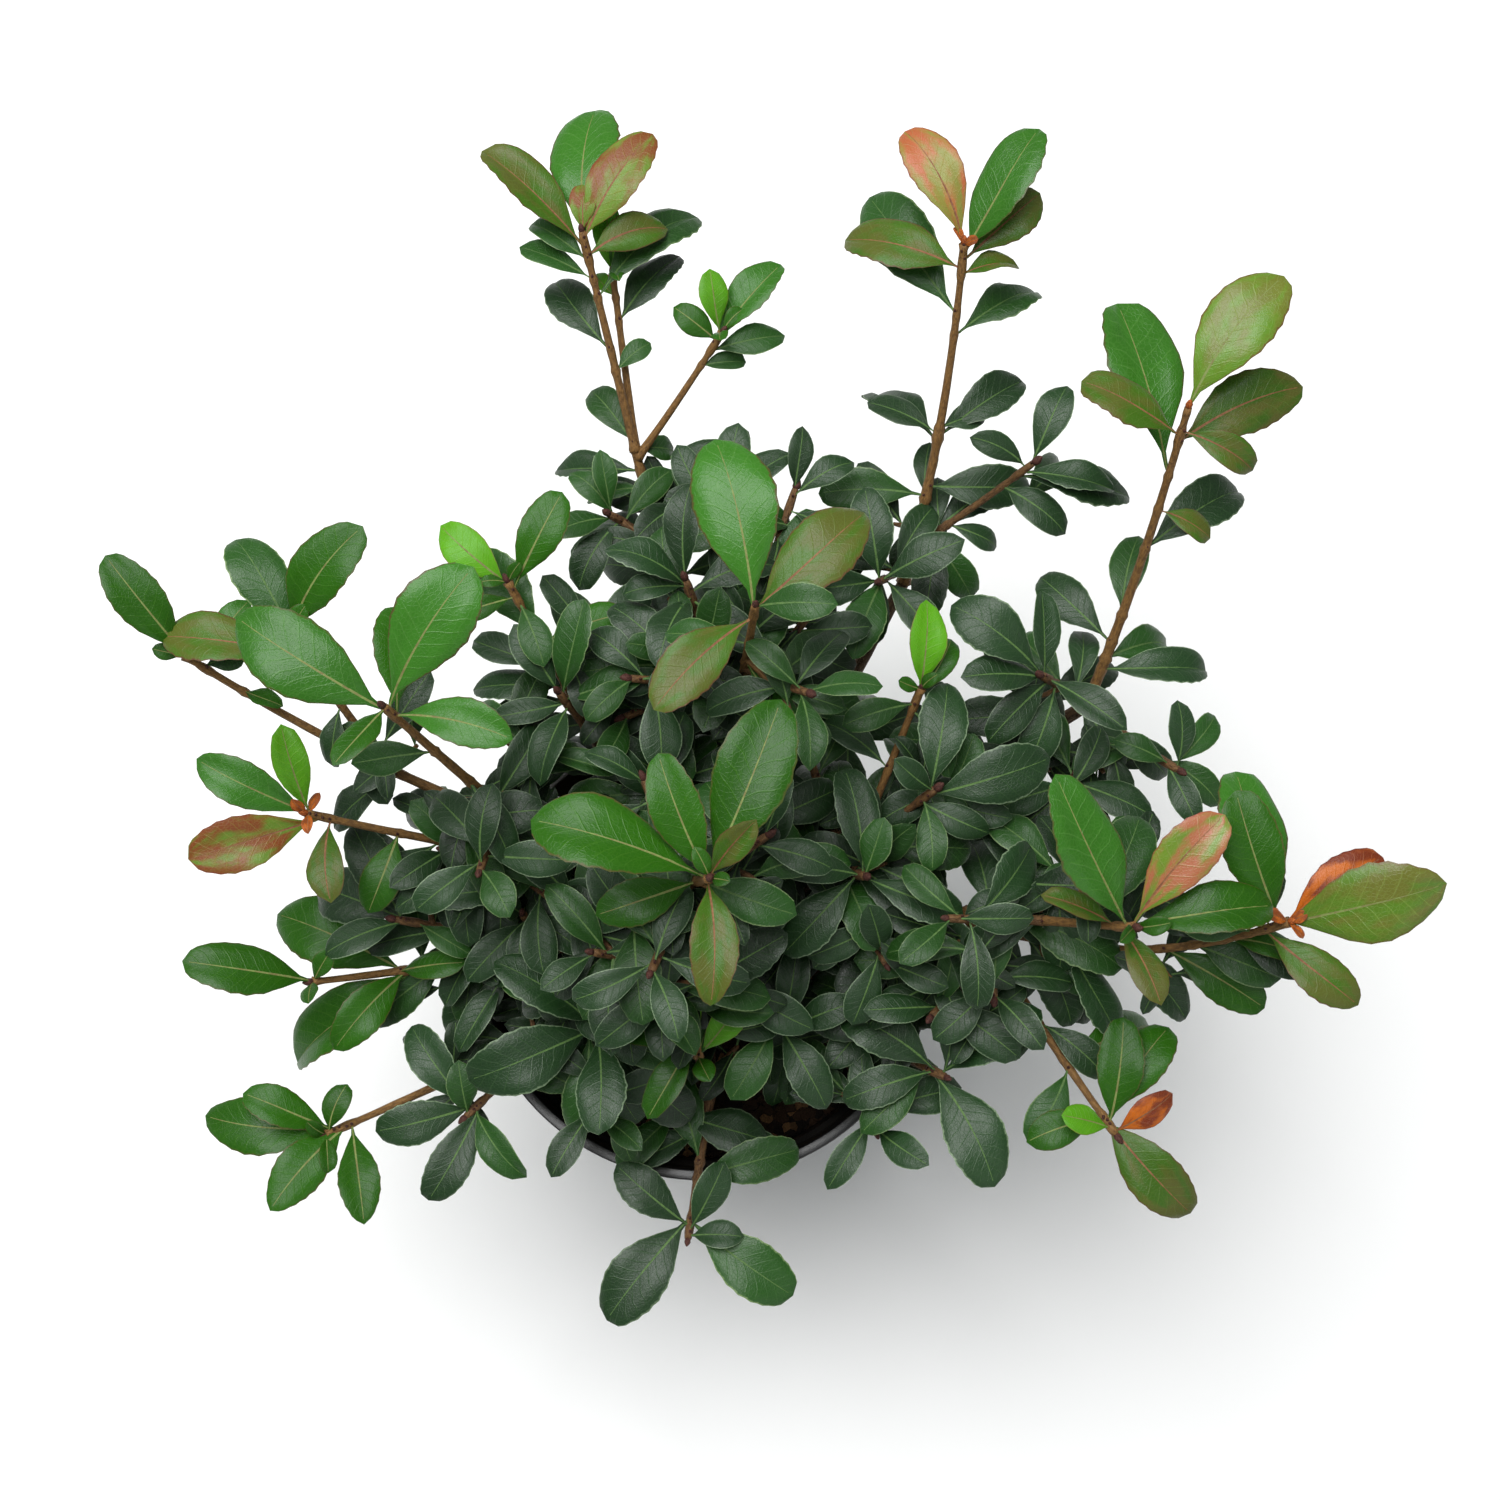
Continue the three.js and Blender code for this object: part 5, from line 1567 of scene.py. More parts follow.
class Effect:
    """A shader node group, built once and placed in each material with its own values."""

    name = "effect"
    colours: tuple[str, ...] = ()
    numbers: tuple[str, ...] = ()

    def __init__(self) -> None:
        """Makes the group with its named sockets and draws its pattern."""
        self.tree = bpy.data.node_groups.new(self.name, "ShaderNodeTree")
        self.add_sockets("INPUT", "Vector", "Place")
        self.add_sockets("INPUT", "Color", *self.colours)
        self.add_sockets("INPUT", "Float", *self.numbers)
        self.add_sockets("OUTPUT", "Color", "Colour")
        self.add_sockets("OUTPUT", "Float", "Roughness", "Height")
        recipe = Recipe(self.tree)
        source = self.tree.nodes.new("NodeGroupInput")
        sink = self.tree.nodes.new("NodeGroupOutput")
        for label, socket in self.draw(recipe, source.outputs).items():
            self.tree.links.new(socket, sink.inputs[label])

    def add_sockets(self, way: str, kind: str, *labels: str) -> None:
        """Names some of the group's inputs or outputs."""
        for label in labels:
            self.tree.interface.new_socket(label, in_out=way, socket_type=f"NodeSocket{kind}")

    def draw(self, r: Recipe, given: Given) -> Sockets:
        """Draws the pattern.

        Args:
            r: The group's recipe.
            given: The group's inputs.

        Returns:
            A socket for each named output.
        """
        raise NotImplementedError

    def dress(self, name: str, place: Callable[[Recipe], NodeSocket], values: dict, bump: float,
              extra: Callable[[Recipe], dict] | None = None, **shader) -> Material:
        """A material that reads its colour, roughness and bump from this effect.

        Args:
            name: The material's name.
            place: Adds the coordinates.
            values: The effect's own inputs.
            bump: The bump's depth in metres.
            extra: Adds further inputs, or None.
            **shader: Values for the shader's own sockets, with _ for a space.

        Returns:
            The material.
        """
        material, recipe, main = new_material(name)
        group = recipe.tree.nodes.new("ShaderNodeGroup")
        group.node_tree = self.tree
        recipe.tree.links.new(place(recipe), group.inputs["Place"])
        for label, value in {**values, **(extra(recipe) if extra else {})}.items():
            if isinstance(value, NodeSocket):
                recipe.tree.links.new(value, group.inputs[label])
            else:
                group.inputs[label].default_value = value
        ridge = recipe.node("Bump", {"Height": group.outputs["Height"], "Distance": bump})
        recipe.tree.links.new(group.outputs["Colour"], main.inputs["Base Color"])
        recipe.tree.links.new(group.outputs["Roughness"], main.inputs["Roughness"])
        recipe.tree.links.new(ridge.outputs["Normal"], main.inputs["Normal"])
        for label, value in shader.items():
            main.inputs[label.replace("_", " ").title().replace("Ior", "IOR")].default_value = value
        material.diffuse_color = next(v for v in values.values() if isinstance(v, tuple))
        return material


def shades(**codes: Triple) -> dict[str, Colour]:
    """An effect's colours by their names, made linear."""
    return {label: shader_colour(code) for label, code in codes.items()}


def on_object(recipe: Recipe) -> NodeSocket:
    """Object coordinates, in metres."""
    return recipe.node("TexCoord").outputs["Object"]


def on_blade(recipe: Recipe) -> NodeSocket:
    """A leaf's own map: across from 0 to 1 and along from 0 to 1."""
    return recipe.node("UVMap", uv_map="blade").outputs["UV"]


def on_grain(recipe: Recipe) -> NodeSocket:
    """A limb's own coordinates, in millimetres, with its length along Z."""
    return recipe.node("Attribute", attribute_name="grain").outputs["Vector"]


def leaf_shade(recipe: Recipe) -> dict:
    """Each leaf's darkness: a random tone per leaf, plus painted shade on the finer leaves inside the crown
    and low over the soil.
    """
    return {"Shade": recipe.node("Attribute", attribute_name="shade").outputs["Fac"]}


class LeafEffect(Effect):
    """Side veins, a fine net between them, a thin rim, blotches, and each leaf's own tone, darkened as
    painted shade on the finer inner leaves.
    """

    name = "leaf blade"
    colours = ("Blade", "Vein", "Rim", "Blotch")
    numbers = ("Blotches", "Roughness", "Shade")
    side_veins = 11.5
    other_side = 0.45
    vein_slant = 0.15
    vein_bend = 0.8
    layers = 37.0
    net_stretch = (1.0, 2.1, 1.0)
    cloud = (3.0, 3.0)
    patches = (3.4, 4.0)
    sheen = (7.0, 3.0)
    vein_height = 0.6
    net_height = 0.3
    cloud_height = 0.8
    net_scale = 19.0
    tip_blush = 0.2
    rim_teeth = 23.0
    tooth_depth = 0.035
    wobble_size = (3.2, 0.6, 0.8)
    vein_half = 0.09
    vein_fade = (0.6, 0.98)
    net_half = 0.14
    patch_edge = (0.5, 0.72)
    own_shade = 0.42
    cloud_shade = 0.34
    least_shade = 0.62
    net_strength = 0.15
    vein_strength = 0.26
    rim_from = 0.94
    rim_strength = (0.4, 0.45)
    rough_spread = (0.16, 0.08)

    def draw(self, r: Recipe, given: Given) -> Sockets:
        """Draws the pattern over a blade's own map."""
        place = given["Place"]
        parts = r.node("SeparateXYZ", {0: place}).outputs
        across = r.scaled(parts[0], 2.0, -1.0)
        off = r.math("ABSOLUTE", across)
        other_half = r.times(r.math("GREATER_THAN", across, 0.0), self.other_side)
        layer = r.times(given["Shade"], self.layers)
        shifted = r.node("CombineXYZ", {0: parts[0], 1: parts[1], 2: layer})
        scale, detail, strength = self.wobble_size
        wobble = r.times(r.noise(shifted.outputs[0], scale, detail), strength)
        slant = r.less(parts[1], r.times(r.math("POWER", off, self.vein_bend), self.vein_slant))
        phase = r.math("ADD", r.scaled(slant, self.side_veins, other_half), wobble)
        comb = r.math("ABSOLUTE", r.less(r.math("FRACT", phase), 0.5))
        line = r.less(1.0, r.ease(comb, 0.0, self.vein_half))
        fade = r.less(1.0, r.ease(off, *self.vein_fade))
        veins = r.times(line, fade)
        wide = r.stretch(shifted.outputs[0], self.net_stretch)
        cells = r.node("TexVoronoi", {"Vector": wide, "Scale": self.net_scale}, feature="DISTANCE_TO_EDGE")
        net = r.less(1.0, r.ease(cells.outputs["Distance"], 0.0, self.net_half))
        cloud = r.noise(wide, *self.cloud)
        patchy = r.scaled(cloud, self.cloud_shade, self.least_shade)
        shade = r.scaled(given["Shade"], self.own_shade, patchy)
        tone = r.node("HueSaturation", {"Color": given["Blade"], "Value": shade})
        patches = r.scaled(parts[1], self.tip_blush, r.noise(shifted.outputs[0], *self.patches))
        blotch = r.times(r.ease(patches, *self.patch_edge), given["Blotches"])
        colour = r.blend(blotch, tone.outputs["Color"], given["Blotch"])
        colour = r.blend(r.times(net, self.net_strength), colour, given["Vein"])
        colour = r.blend(r.times(veins, self.vein_strength), colour, given["Vein"])
        tooth = r.math("FRACT", r.times(parts[1], self.rim_teeth))
        edge = r.scaled(tooth, self.tooth_depth, off)
        strength = r.scaled(given["Shade"], *self.rim_strength)
        rim = r.times(r.ease(edge, self.rim_from, 1.0), strength)
        colour = r.blend(rim, colour, given["Rim"])
        spread, below = self.rough_spread
        least = r.less(given["Roughness"], below)
        rough = r.scaled(r.noise(wide, *self.sheen), spread, least)
        ridges = r.scaled(net, self.net_height, r.times(veins, self.vein_height))
        height = r.less(r.times(cloud, self.cloud_height), ridges)
        return {"Colour": colour, "Roughness": rough, "Height": height}


class BarkEffect(Effect):
    """Fibres along a limb, cross cracks and pale flecks, in the limb's own coordinates."""

    name = "bark grain"
    colours = ("Bark", "Crack", "Fleck")
    numbers = ("Flecks", "Scale")
    fibre_stretch = (1.0, 1.0, 0.16)
    fibre = (1.4, 5.0)
    fibre_edge = (0.38, 0.62)
    crack_stretch = (1.0, 1.0, 0.45)
    crack = (0.5, 4.0)
    crack_edge = (0.36, 0.5)
    speck = (2.2, 2.0)
    speck_edge = (0.58, 0.7)
    darkening = 0.6
    fleck_height = 0.3
    rough = (0.25, 0.55)

    def draw(self, r: Recipe, given: Given) -> Sockets:
        """Draws the pattern along the limb."""
        feeds = {0: given["Place"], "Scale": given["Scale"]}
        sized = r.node("VectorMath", feeds, operation="SCALE").outputs[0]
        fibres = r.noise(r.stretch(sized, self.fibre_stretch), *self.fibre)
        cracks = r.noise(r.stretch(sized, self.crack_stretch), *self.crack)
        specks = r.noise(sized, *self.speck)
        dark = r.ease(fibres, *self.fibre_edge)
        split = r.less(1.0, r.ease(cracks, *self.crack_edge))
        flecks = r.times(r.ease(specks, *self.speck_edge), given["Flecks"])
        colour = r.blend(r.times(dark, self.darkening), given["Bark"], given["Crack"])
        colour = r.blend(r.times(split, self.darkening), colour, given["Crack"])
        colour = r.blend(flecks, colour, given["Fleck"])
        rough = r.scaled(fibres, *self.rough)
        height = r.less(r.scaled(flecks, self.fleck_height, fibres), split)
        return {"Colour": colour, "Roughness": rough, "Height": height}


class CrumbEffect(Effect):
    """Coarse crumbs of three browns, for the potting mix and its bark chips."""

    name = "bark crumbs"
    colours = ("Dark", "Brown", "Pale")
    numbers = ("Scale",)
    finer = 2.5
    detail = 4.0
    brown_edge = (0.3, 0.8)
    pale_edge = (0.8, 0.95)
    pale_strength = 0.8
    dirt = 0.5
    rough = (0.15, 0.8)
    dip = -0.8

    def draw(self, r: Recipe, given: Given) -> Sockets:
        """Draws the crumbs."""
        cells = r.node("TexVoronoi", {"Vector": given["Place"], "Scale": given["Scale"]})
        pick = r.node("SeparateColor", {0: cells.outputs["Color"]}).outputs
        cloud = r.noise(given["Place"], r.times(given["Scale"], self.finer), self.detail)
        colour = r.blend(r.ease(pick[0], *self.brown_edge), given["Dark"], given["Brown"])
        pale = r.times(r.ease(pick[1], *self.pale_edge), self.pale_strength)
        colour = r.blend(pale, colour, given["Pale"])
        colour = r.blend(r.times(cloud, self.dirt), colour, given["Dark"])
        rough = r.scaled(cloud, *self.rough)
        height = r.scaled(cells.outputs["Distance"], self.dip, cloud)
        return {"Colour": colour, "Roughness": rough, "Height": height}


class PlasticEffect(Effect):
    """Moulded plastic with a faint grain, dull scuffs and a film of dust."""

    name = "dusty plastic"
    colours = ("Plastic", "Dust")
    numbers = ("Dusting",)
    film = (22.0, 5.0)
    film_edge = (0.4, 0.75)
    scuff_stretch = (1.0, 1.0, 6.0)
    scuff = (60.0, 3.0)
    scuff_edge = (0.52, 0.72)
    grain = (1500.0, 1.0)
    rough = (0.14, 0.32)
    dust_rough = 0.6

    def draw(self, r: Recipe, given: Given) -> Sockets:
        """Draws the grain, the scuffs and the dust."""
        film = r.noise(given["Place"], *self.film)
        streaks = r.noise(r.stretch(given["Place"], self.scuff_stretch), *self.scuff)
        scuff = r.ease(streaks, *self.scuff_edge)
        grain = r.noise(given["Place"], *self.grain)
        dust = r.times(r.ease(film, *self.film_edge), given["Dusting"])
        colour = r.blend(dust, given["Plastic"], given["Dust"])
        rough = r.math("ADD", r.scaled(scuff, *self.rough), r.times(dust, self.dust_rough))
        return {"Colour": colour, "Roughness": rough, "Height": grain}


@dataclass(frozen=True)
class LeafFinish:
    """One tone of leaf: the screen colours of its blade, veins, rim and blotches, and its gloss."""

    tone: Tone
    blade: Triple
    vein: Triple
    rim: Triple
    blotch: Triple = (60, 100, 50)
    blotches: float = 0.0
    roughness: float = 0.4
    coat: float = 0.0
    gloss: float = 0.38
    coat_roughness: float = 0.22
    under_roughness: float = 0.6
    under_gloss: float = 0.3
    under_tint: Triple = (138, 160, 104)
    under_vein: Triple = (150, 170, 110)
    under_share: float = 0.32
    under_blotches: float = 0.7
    bump: float = 0.00014
    under_bump: float = 0.00015

    def top(self, effect: LeafEffect) -> Material:
        """The upper face.

        Args:
            effect: The leaf pattern.

        Returns:
            Its material.
        """
        values = {**shades(Blade=self.blade, Vein=self.vein, Rim=self.rim, Blotch=self.blotch),
                  "Blotches": self.blotches, "Roughness": self.roughness}
        return effect.dress(f"leaf_{self.tone.name.lower()}", on_blade, values, self.bump, leaf_shade,
                            coat_weight=self.coat, coat_roughness=self.coat_roughness,
                            specular_ior_level=self.gloss)

    def under(self, effect: LeafEffect) -> Material:
        """The paler, duller lower face.

        Args:
            effect: The leaf pattern.

        Returns:
            Its material.
        """
        share = self.under_share
        pale = tuple((1 - share) * c + share * g for c, g in zip(self.blade, self.under_tint))
        values = {**shades(Blade=pale, Vein=self.under_vein, Rim=self.rim, Blotch=self.blotch),
                  "Blotches": self.blotches * self.under_blotches, "Roughness": self.under_roughness}
        return effect.dress(f"leaf_{self.tone.name.lower()}_under", on_blade, values, self.under_bump,
                            leaf_shade, specular_ior_level=self.under_gloss)


LEAF_FINISHES = (
    LeafFinish(Tone.DARK, (24, 51, 21), (58, 88, 48), (118, 138, 106)),
    LeafFinish(Tone.DEEP, (30, 68, 18), (62, 104, 44), (118, 140, 92), roughness=0.38, gloss=0.34),
    LeafFinish(Tone.FRESH, (33, 79, 6), (68, 114, 32), (78, 66, 36), roughness=0.34, coat=0.05, gloss=0.2),
    LeafFinish(Tone.BRIGHT, (46, 97, 24), (86, 132, 60), (76, 52, 34), roughness=0.29, coat=0.05, gloss=0.23),
    LeafFinish(Tone.LIME, (74, 138, 8), (118, 168, 50), (112, 104, 50), roughness=0.4, coat=0.05, gloss=0.24),
    LeafFinish(Tone.YELLOW, (80, 116, 26), (124, 146, 66), (96, 58, 36), (108, 80, 40), 0.5, 0.34, 0.1,
               0.3),
    LeafFinish(Tone.OLIVE, (53, 88, 13), (90, 114, 44), (88, 48, 36), (98, 74, 40), 0.45, 0.38, 0.04, 0.24),
    LeafFinish(Tone.BLUSH, (92, 120, 30), (136, 138, 74), (124, 48, 42), (162, 80, 62), 0.85, 0.34, 0.12,
               0.4),
    LeafFinish(Tone.SALMON, (116, 118, 46), (150, 124, 66), (104, 40, 32), (164, 84, 50), 0.95, 0.4, 0.05,
               0.34),
    LeafFinish(Tone.RUST, (164, 82, 8), (156, 90, 28), (88, 28, 18), (94, 28, 12), 0.9, 0.42, 0.0, 0.34),
    LeafFinish(Tone.TINGED, (92, 124, 34), (138, 128, 62), (108, 40, 28), (116, 36, 20), 0.85, 0.42, 0.0,
               0.34),
    LeafFinish(Tone.AMBER, (164, 84, 18), (172, 106, 46), (104, 44, 20), (96, 40, 18), 0.7, 0.42, 0.0, 0.3),
)


@dataclass(frozen=True)
class BarkFinish:
    """Bark, bud scales or midribs: screen colours, share of pale flecks, scale and depth of the bump."""

    name: str
    bark: Triple
    crack: Triple
    fleck: Triple
    flecks: float
    scale: float
    bump: float

    def material(self, effect: BarkEffect, place: Callable[[Recipe], NodeSocket] = on_grain,
                 gloss: float = 0.3) -> Material:
        """The bark's material, in the limb's own coordinates unless others are given.

        Args:
            effect: The bark pattern.
            place: Adds the coordinates.
            gloss: The strength of its shine.

        Returns:
            The material.
        """
        values = {**shades(Bark=self.bark, Crack=self.crack, Fleck=self.fleck),
                  "Flecks": self.flecks, "Scale": self.scale}
        return effect.dress(self.name, place, values, self.bump, specular_ior_level=gloss)


OLD_BARK = BarkFinish("bark_old", (98, 74, 52), (52, 36, 24), (138, 118, 92), 0.7, 0.9, 0.0008)
TWIG_BARK = BarkFinish("bark_twig", (104, 74, 42), (66, 44, 26), (144, 116, 78), 0.5, 1.6, 0.0003)
YOUNG_BARK = BarkFinish("bark_young", (124, 90, 46), (84, 58, 32), (158, 130, 84), 0.4, 1.8, 0.0002)
BUD_BARK = BarkFinish("bud_scales", (80, 44, 36), (48, 26, 22), (112, 76, 56), 0.4, 2.4, 0.0002)
RUST_BARK = BarkFinish("bud_rusty", (166, 86, 28), (108, 48, 18), (192, 122, 54), 0.5, 1.6, 0.0003)


def turned(corners: Sequence[Pair], turns: int) -> BMesh:
    """A closed shape turned round Z from an outline.

    Args:
        corners: Radius and height of each corner in millimetres.
        turns: Steps of the turn.

    Returns:
        The bmesh, with its faces outward.
    """
    bm = bmesh.new()
    verts = [bm.verts.new((r * MM, 0, z * MM)) for r, z in corners]
    edges = [bm.edges.new(pair) for pair in zip(verts, verts[1:])]
    bmesh.ops.spin(bm, geom=verts + edges, cent=(0, 0, 0), axis=(0, 0, 1), angle=2 * math.pi,
                   steps=turns, use_merge=True, use_duplicate=False)
    bmesh.ops.remove_doubles(bm, verts=bm.verts, dist=1e-7)
    bmesh.ops.recalc_face_normals(bm, faces=bm.faces)
    return bm


def smooth(bm: BMesh) -> BMesh:
    """Shades every face of a bmesh smooth, and gives it back."""
    for face in bm.faces:
        face.smooth = True
    return bm


def add_object(name: str, data: bpy.types.ID) -> Object:
    """A new object in the scene, at the origin."""
    made = bpy.data.objects.new(name, data)
    bpy.context.scene.collection.objects.link(made)
    return made


def stamp(bm: BMesh, blank: Mesh) -> Sequence[BMVert]:
    """Adds a blank to a bmesh.

    Args:
        bm: The bmesh.
        blank: The blank.

    Returns:
        The vertices that it brought.
    """
    count = len(bm.verts)
    bm.from_mesh(blank)
    bm.verts.ensure_lookup_table()
    return bm.verts[count:]


def corners_of(blank: Mesh) -> Array:
    """A blank's vertices as an array."""
    return np.array([v.co[:] for v in blank.vertices])


def new_mesh(name: str, bm: BMesh, *materials: Material) -> Mesh:
    """A mesh from a finished bmesh, which is freed.

    Args:
        name: The mesh's name.
        bm: The bmesh.
        *materials: Its materials, in the order of their slots.

    Returns:
        The mesh.
    """
    mesh = bpy.data.meshes.new(name)
    bm.to_mesh(mesh)
    bm.free()
    for material in materials:
        mesh.materials.append(material)
    return mesh


def place_piece(name: str, mesh: Mesh, nodes: Iterable[str] = ()) -> Object:
    """Adds a finished piece to the scene and to the frame.

    Args:
        name: The piece's name.
        mesh: Its mesh, in metres and in place.
        nodes: The solids that it stands for.

    Returns:
        The object.
    """
    piece = add_object(name, mesh)
    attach(piece, BODY)
    stands_for = sorted(set(nodes))
    if stands_for:
        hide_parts(*stands_for)
    log.info("%s: %d faces, for %d nodes", name, len(mesh.polygons), len(stands_for))
    return piece


@dataclass
class Foliage:
    """All the leaf blades, one piece for each tone, and their midribs."""

    columns: int = 4
    under_columns: int = 2
    rows: int = 9
    large_rows: int = 18
    large_from: float = 46.0
    arch: float = 0.13
    wave: float = 0.12
    rolled: float = 0.2
    sickle: float = 0.1
    droop: float = 0.1
    droop_from: float = 0.55
    later: float = 0.4
    later_from: float = 0.25
    blunter: float = 0.22
    crowding: float = 0.07
    tooth: float = 0.022
    tooth_from: float = 0.3
    tooth_to: float = 0.97
    rim_from: float = 0.9
    twist: float = 26.0
    depth: float = 0.45
    stalk_depth: float = 1.1
    stalk_to: float = 0.12
    rib_rows: int = 9
    rib_span: Pair = (0.02, 0.93)
    rib_least: float = 0.12
    rib_sunk: float = 0.06
    rib_full: float = 45.0
    ripples: float = 9.5
    ripple_shift: float = 2.1
    rib_half: float = 0.48
    rib_end: float = 1.05
    rib_most: float = 0.9
    rib_rise: float = 0.22
    rib_gloss: float = 0.35
    # How much darker the finer leaves inside the crown and over the soil are painted: painted shade deep in
    # the crown
    painted_inner_shade: float = 0.8

    def half_width(self, leaf: Leaf, along: Array) -> Array:
        """Half a leaf's width at shares of its length, with its own widest place and tip.

        Args:
            leaf: The leaf.
            along: The shares.

        Returns:
            Half the width at each, in millimetres.
        """
        later = self.later * (leaf.drawn(Draw.WIDEST) - self.later_from)
        blunter = self.blunter * leaf.drawn(Draw.BLUNTNESS)
        return 0.5 * leaf.width * profile(along, later, blunter)

    def surface(self, leaf: Leaf, across: Array, along: Array,
                rise: Array | float = 0.0) -> Array:
        """Points of a leaf's upper face.

        Args:
            leaf: The leaf.
            across: Places from -1 at one rim to 1 at the other.
            along: Shares of its length.
            rise: Heights off the face in millimetres.

        Returns:
            The points, in millimetres.
        """
        centre, _, side, normal = leaf.frame(along)
        turn = math.radians(self.twist) * (leaf.drawn(Draw.TWIST) - 0.5) * along ** 2
        side, normal = (np.cos(turn)[:, None] * side + np.sin(turn)[:, None] * normal,
                        np.cos(turn)[:, None] * normal - np.sin(turn)[:, None] * side)
        half = self.half_width(leaf, along)
        off = np.abs(across)
        phase = FULL_TURN * leaf.drawn(Draw.RIPPLE)
        phase = phase + np.where(across > 0, self.ripple_shift, 0.0)
        ripple = half * self.wave * off ** 2 * np.sin(phase + self.ripples * along)
        bulge = half * self.arch * 4 * off * (1 - off) - half * self.rolled * off ** 4
        bow = self.sickle * leaf.length * (leaf.drawn(Draw.SICKLE) - 0.5) * 4 * along * (1 - along)
        late = ((along - self.droop_from) / (1 - self.droop_from)).clip(0)
        fall = self.droop * leaf.length * leaf.drawn(Draw.DROOP) ** 2 * late ** 2
        centre = centre + bow[:, None] * side - fall[:, None] * normal
        height = half * off * math.sin(leaf.fold) + bulge + ripple + rise
        return centre + (half * across * math.cos(leaf.fold))[:, None] * side + height[:, None] * normal

    def blank(self, rows: int) -> Mesh:
        """One flat leaf that each real one is bent from: X across, Y along, Z -1 under the blade.

        Args:
            rows: Rows of faces along it.

        Returns:
            The flat leaf.
        """
        bm = bmesh.new()
        uv = bm.loops.layers.uv.new("blade")
        bmesh.ops.create_grid(bm, x_segments=self.columns, y_segments=rows, size=1)
        top = set(bm.faces)
        bmesh.ops.create_grid(bm, x_segments=self.under_columns, y_segments=rows, size=1)
        under = [face for face in bm.faces if face not in top]
        for face in bm.faces:
            face.smooth = True
            face.material_index = int(face not in top)
            for loop in face.loops:
                x, y, _ = loop.vert.co
                loop[uv].uv = ((x + 1) / 2, self.row_place((y + 1) / 2))
        for vert in {v for face in under for v in face.verts}:
            vert.co.z = -1.0 if abs(vert.co.x) < 0.5 and abs(vert.co.y) < 0.99 else 0.0
        bmesh.ops.reverse_faces(bm, faces=under)
        for vert in bm.verts:
            if abs(vert.co.y) > 0.999:
                vert.co.x = 0.0
            vert.co.y = self.row_place((vert.co.y + 1) / 2)
        bmesh.ops.remove_doubles(bm, verts=bm.verts, dist=1e-5)
        for edge in bm.edges:
            edge.smooth = len({face.material_index for face in edge.link_faces}) < 2
        return new_mesh("leaf_blank", bm)

    def rib_blank(self) -> Mesh:
        """One flat midrib: X across, Y along, with its middle raised later."""
        bm = bmesh.new()
        bmesh.ops.create_grid(bm, x_segments=2, y_segments=self.rib_rows, size=1)
        start, reach = self.rib_span
        for vert in bm.verts:
            vert.co.y = start + reach * (vert.co.y + 1) / 2
        return new_mesh("rib_blank", smooth(bm))

    def row_place(self, share: float) -> float:
        """The place along the blade of an evenly counted row, so that rows crowd towards the tip."""
        return share + self.crowding * math.sin(math.pi * share)

    def teeth(self, along: Array) -> Array:
        """How far the rim stands out at each row: a tooth on every other row past the first third.

        Args:
            along: The rows' shares of the length.

        Returns:
            A factor for each.
        """
        evenly = [self.row_place(k / self.large_rows) for k in range(self.large_rows + 1)]
        rows = np.abs(along[:, None] - np.array(evenly)).argmin(1)
        sign = np.where(rows % 2 == 0, 1.0, -1.0)
        return 1 + self.tooth * sign * ((along > self.tooth_from) & (along < self.tooth_to))

    def add_blade(self, bm: BMesh, blank: Mesh, flat: Array, leaf: Leaf) -> None:
        """Adds one bent leaf to a bmesh.

        Args:
            bm: The joined leaves so far.
            blank: The flat leaf.
            flat: The flat leaf's vertices as an array.
            leaf: The leaf.
        """
        verts = stamp(bm, blank)
        across, along, under = flat.T
        toothed = (np.abs(across) > self.rim_from) & (leaf.length >= self.large_from)
        wide = across * np.where(toothed, self.teeth(along), 1.0)
        depth = np.where(along < self.stalk_to, self.stalk_depth, self.depth)
        points = self.surface(leaf, wide, along, under * depth) * MM
        shade = bm.verts.layers.float["shade"]
        # Each leaf's random tone, minus painted shade on the finer inner leaves
        value = leaf.drawn(Draw.SHADE) - self.painted_inner_shade * leaf.inner
        for vert, point in zip(verts, points):
            vert.co = point
            vert[shade] = value

    def add_rib(self, bm: BMesh, blank: Mesh, flat: Array, leaf: Leaf) -> None:
        """Adds one midrib, raised along its middle and sunk at its edges.

        Args:
            bm: The joined midribs so far.
            blank: The flat midrib.
            flat: Its vertices as an array.
            leaf: The leaf.
        """
        across, along, _ = flat.T
        half = self.half_width(leaf, along)
        taper = (self.rib_end - along) * min(1.0, leaf.length / self.rib_full)
        reach = np.minimum(self.rib_half * taper + self.rib_least, self.rib_most * half)
        rise = np.where(np.abs(across) < 0.5, self.rib_rise, -self.rib_sunk)
        points = self.surface(leaf, across * reach / half, along, rise) * MM
        for vert, point in zip(stamp(bm, blank), points):
            vert.co = point

    def build(self, leaves: Sequence[Leaf], effect: LeafEffect, grain: BarkEffect) -> None:
        """Makes a piece for each tone and the pieces of midribs.

        Args:
            leaves: Every leaf.
            effect: The leaf pattern.
            grain: The pattern of the midribs.
        """
        blanks = [self.blank(self.rows), self.blank(self.large_rows)]
        flats = [corners_of(blank) for blank in blanks]
        for finish in LEAF_FINISHES:
            mine = [leaf for leaf in leaves if leaf.tone is finish.tone]
            if not mine:
                continue
            bm = bmesh.new()
            bm.verts.layers.float.new("shade")
            bm.loops.layers.uv.new("blade")
            for leaf in mine:
                kind = int(leaf.length >= self.large_from)
                self.add_blade(bm, blanks[kind], flats[kind], leaf)
            name = f"leaves_{finish.tone.name.lower()}"
            mesh = new_mesh(name, bm, finish.top(effect), finish.under(effect))
            place_piece(name, mesh, {leaf.spray for leaf in mine})
        self.build_ribs(leaves, grain)
        for blank in blanks:
            bpy.data.meshes.remove(blank)

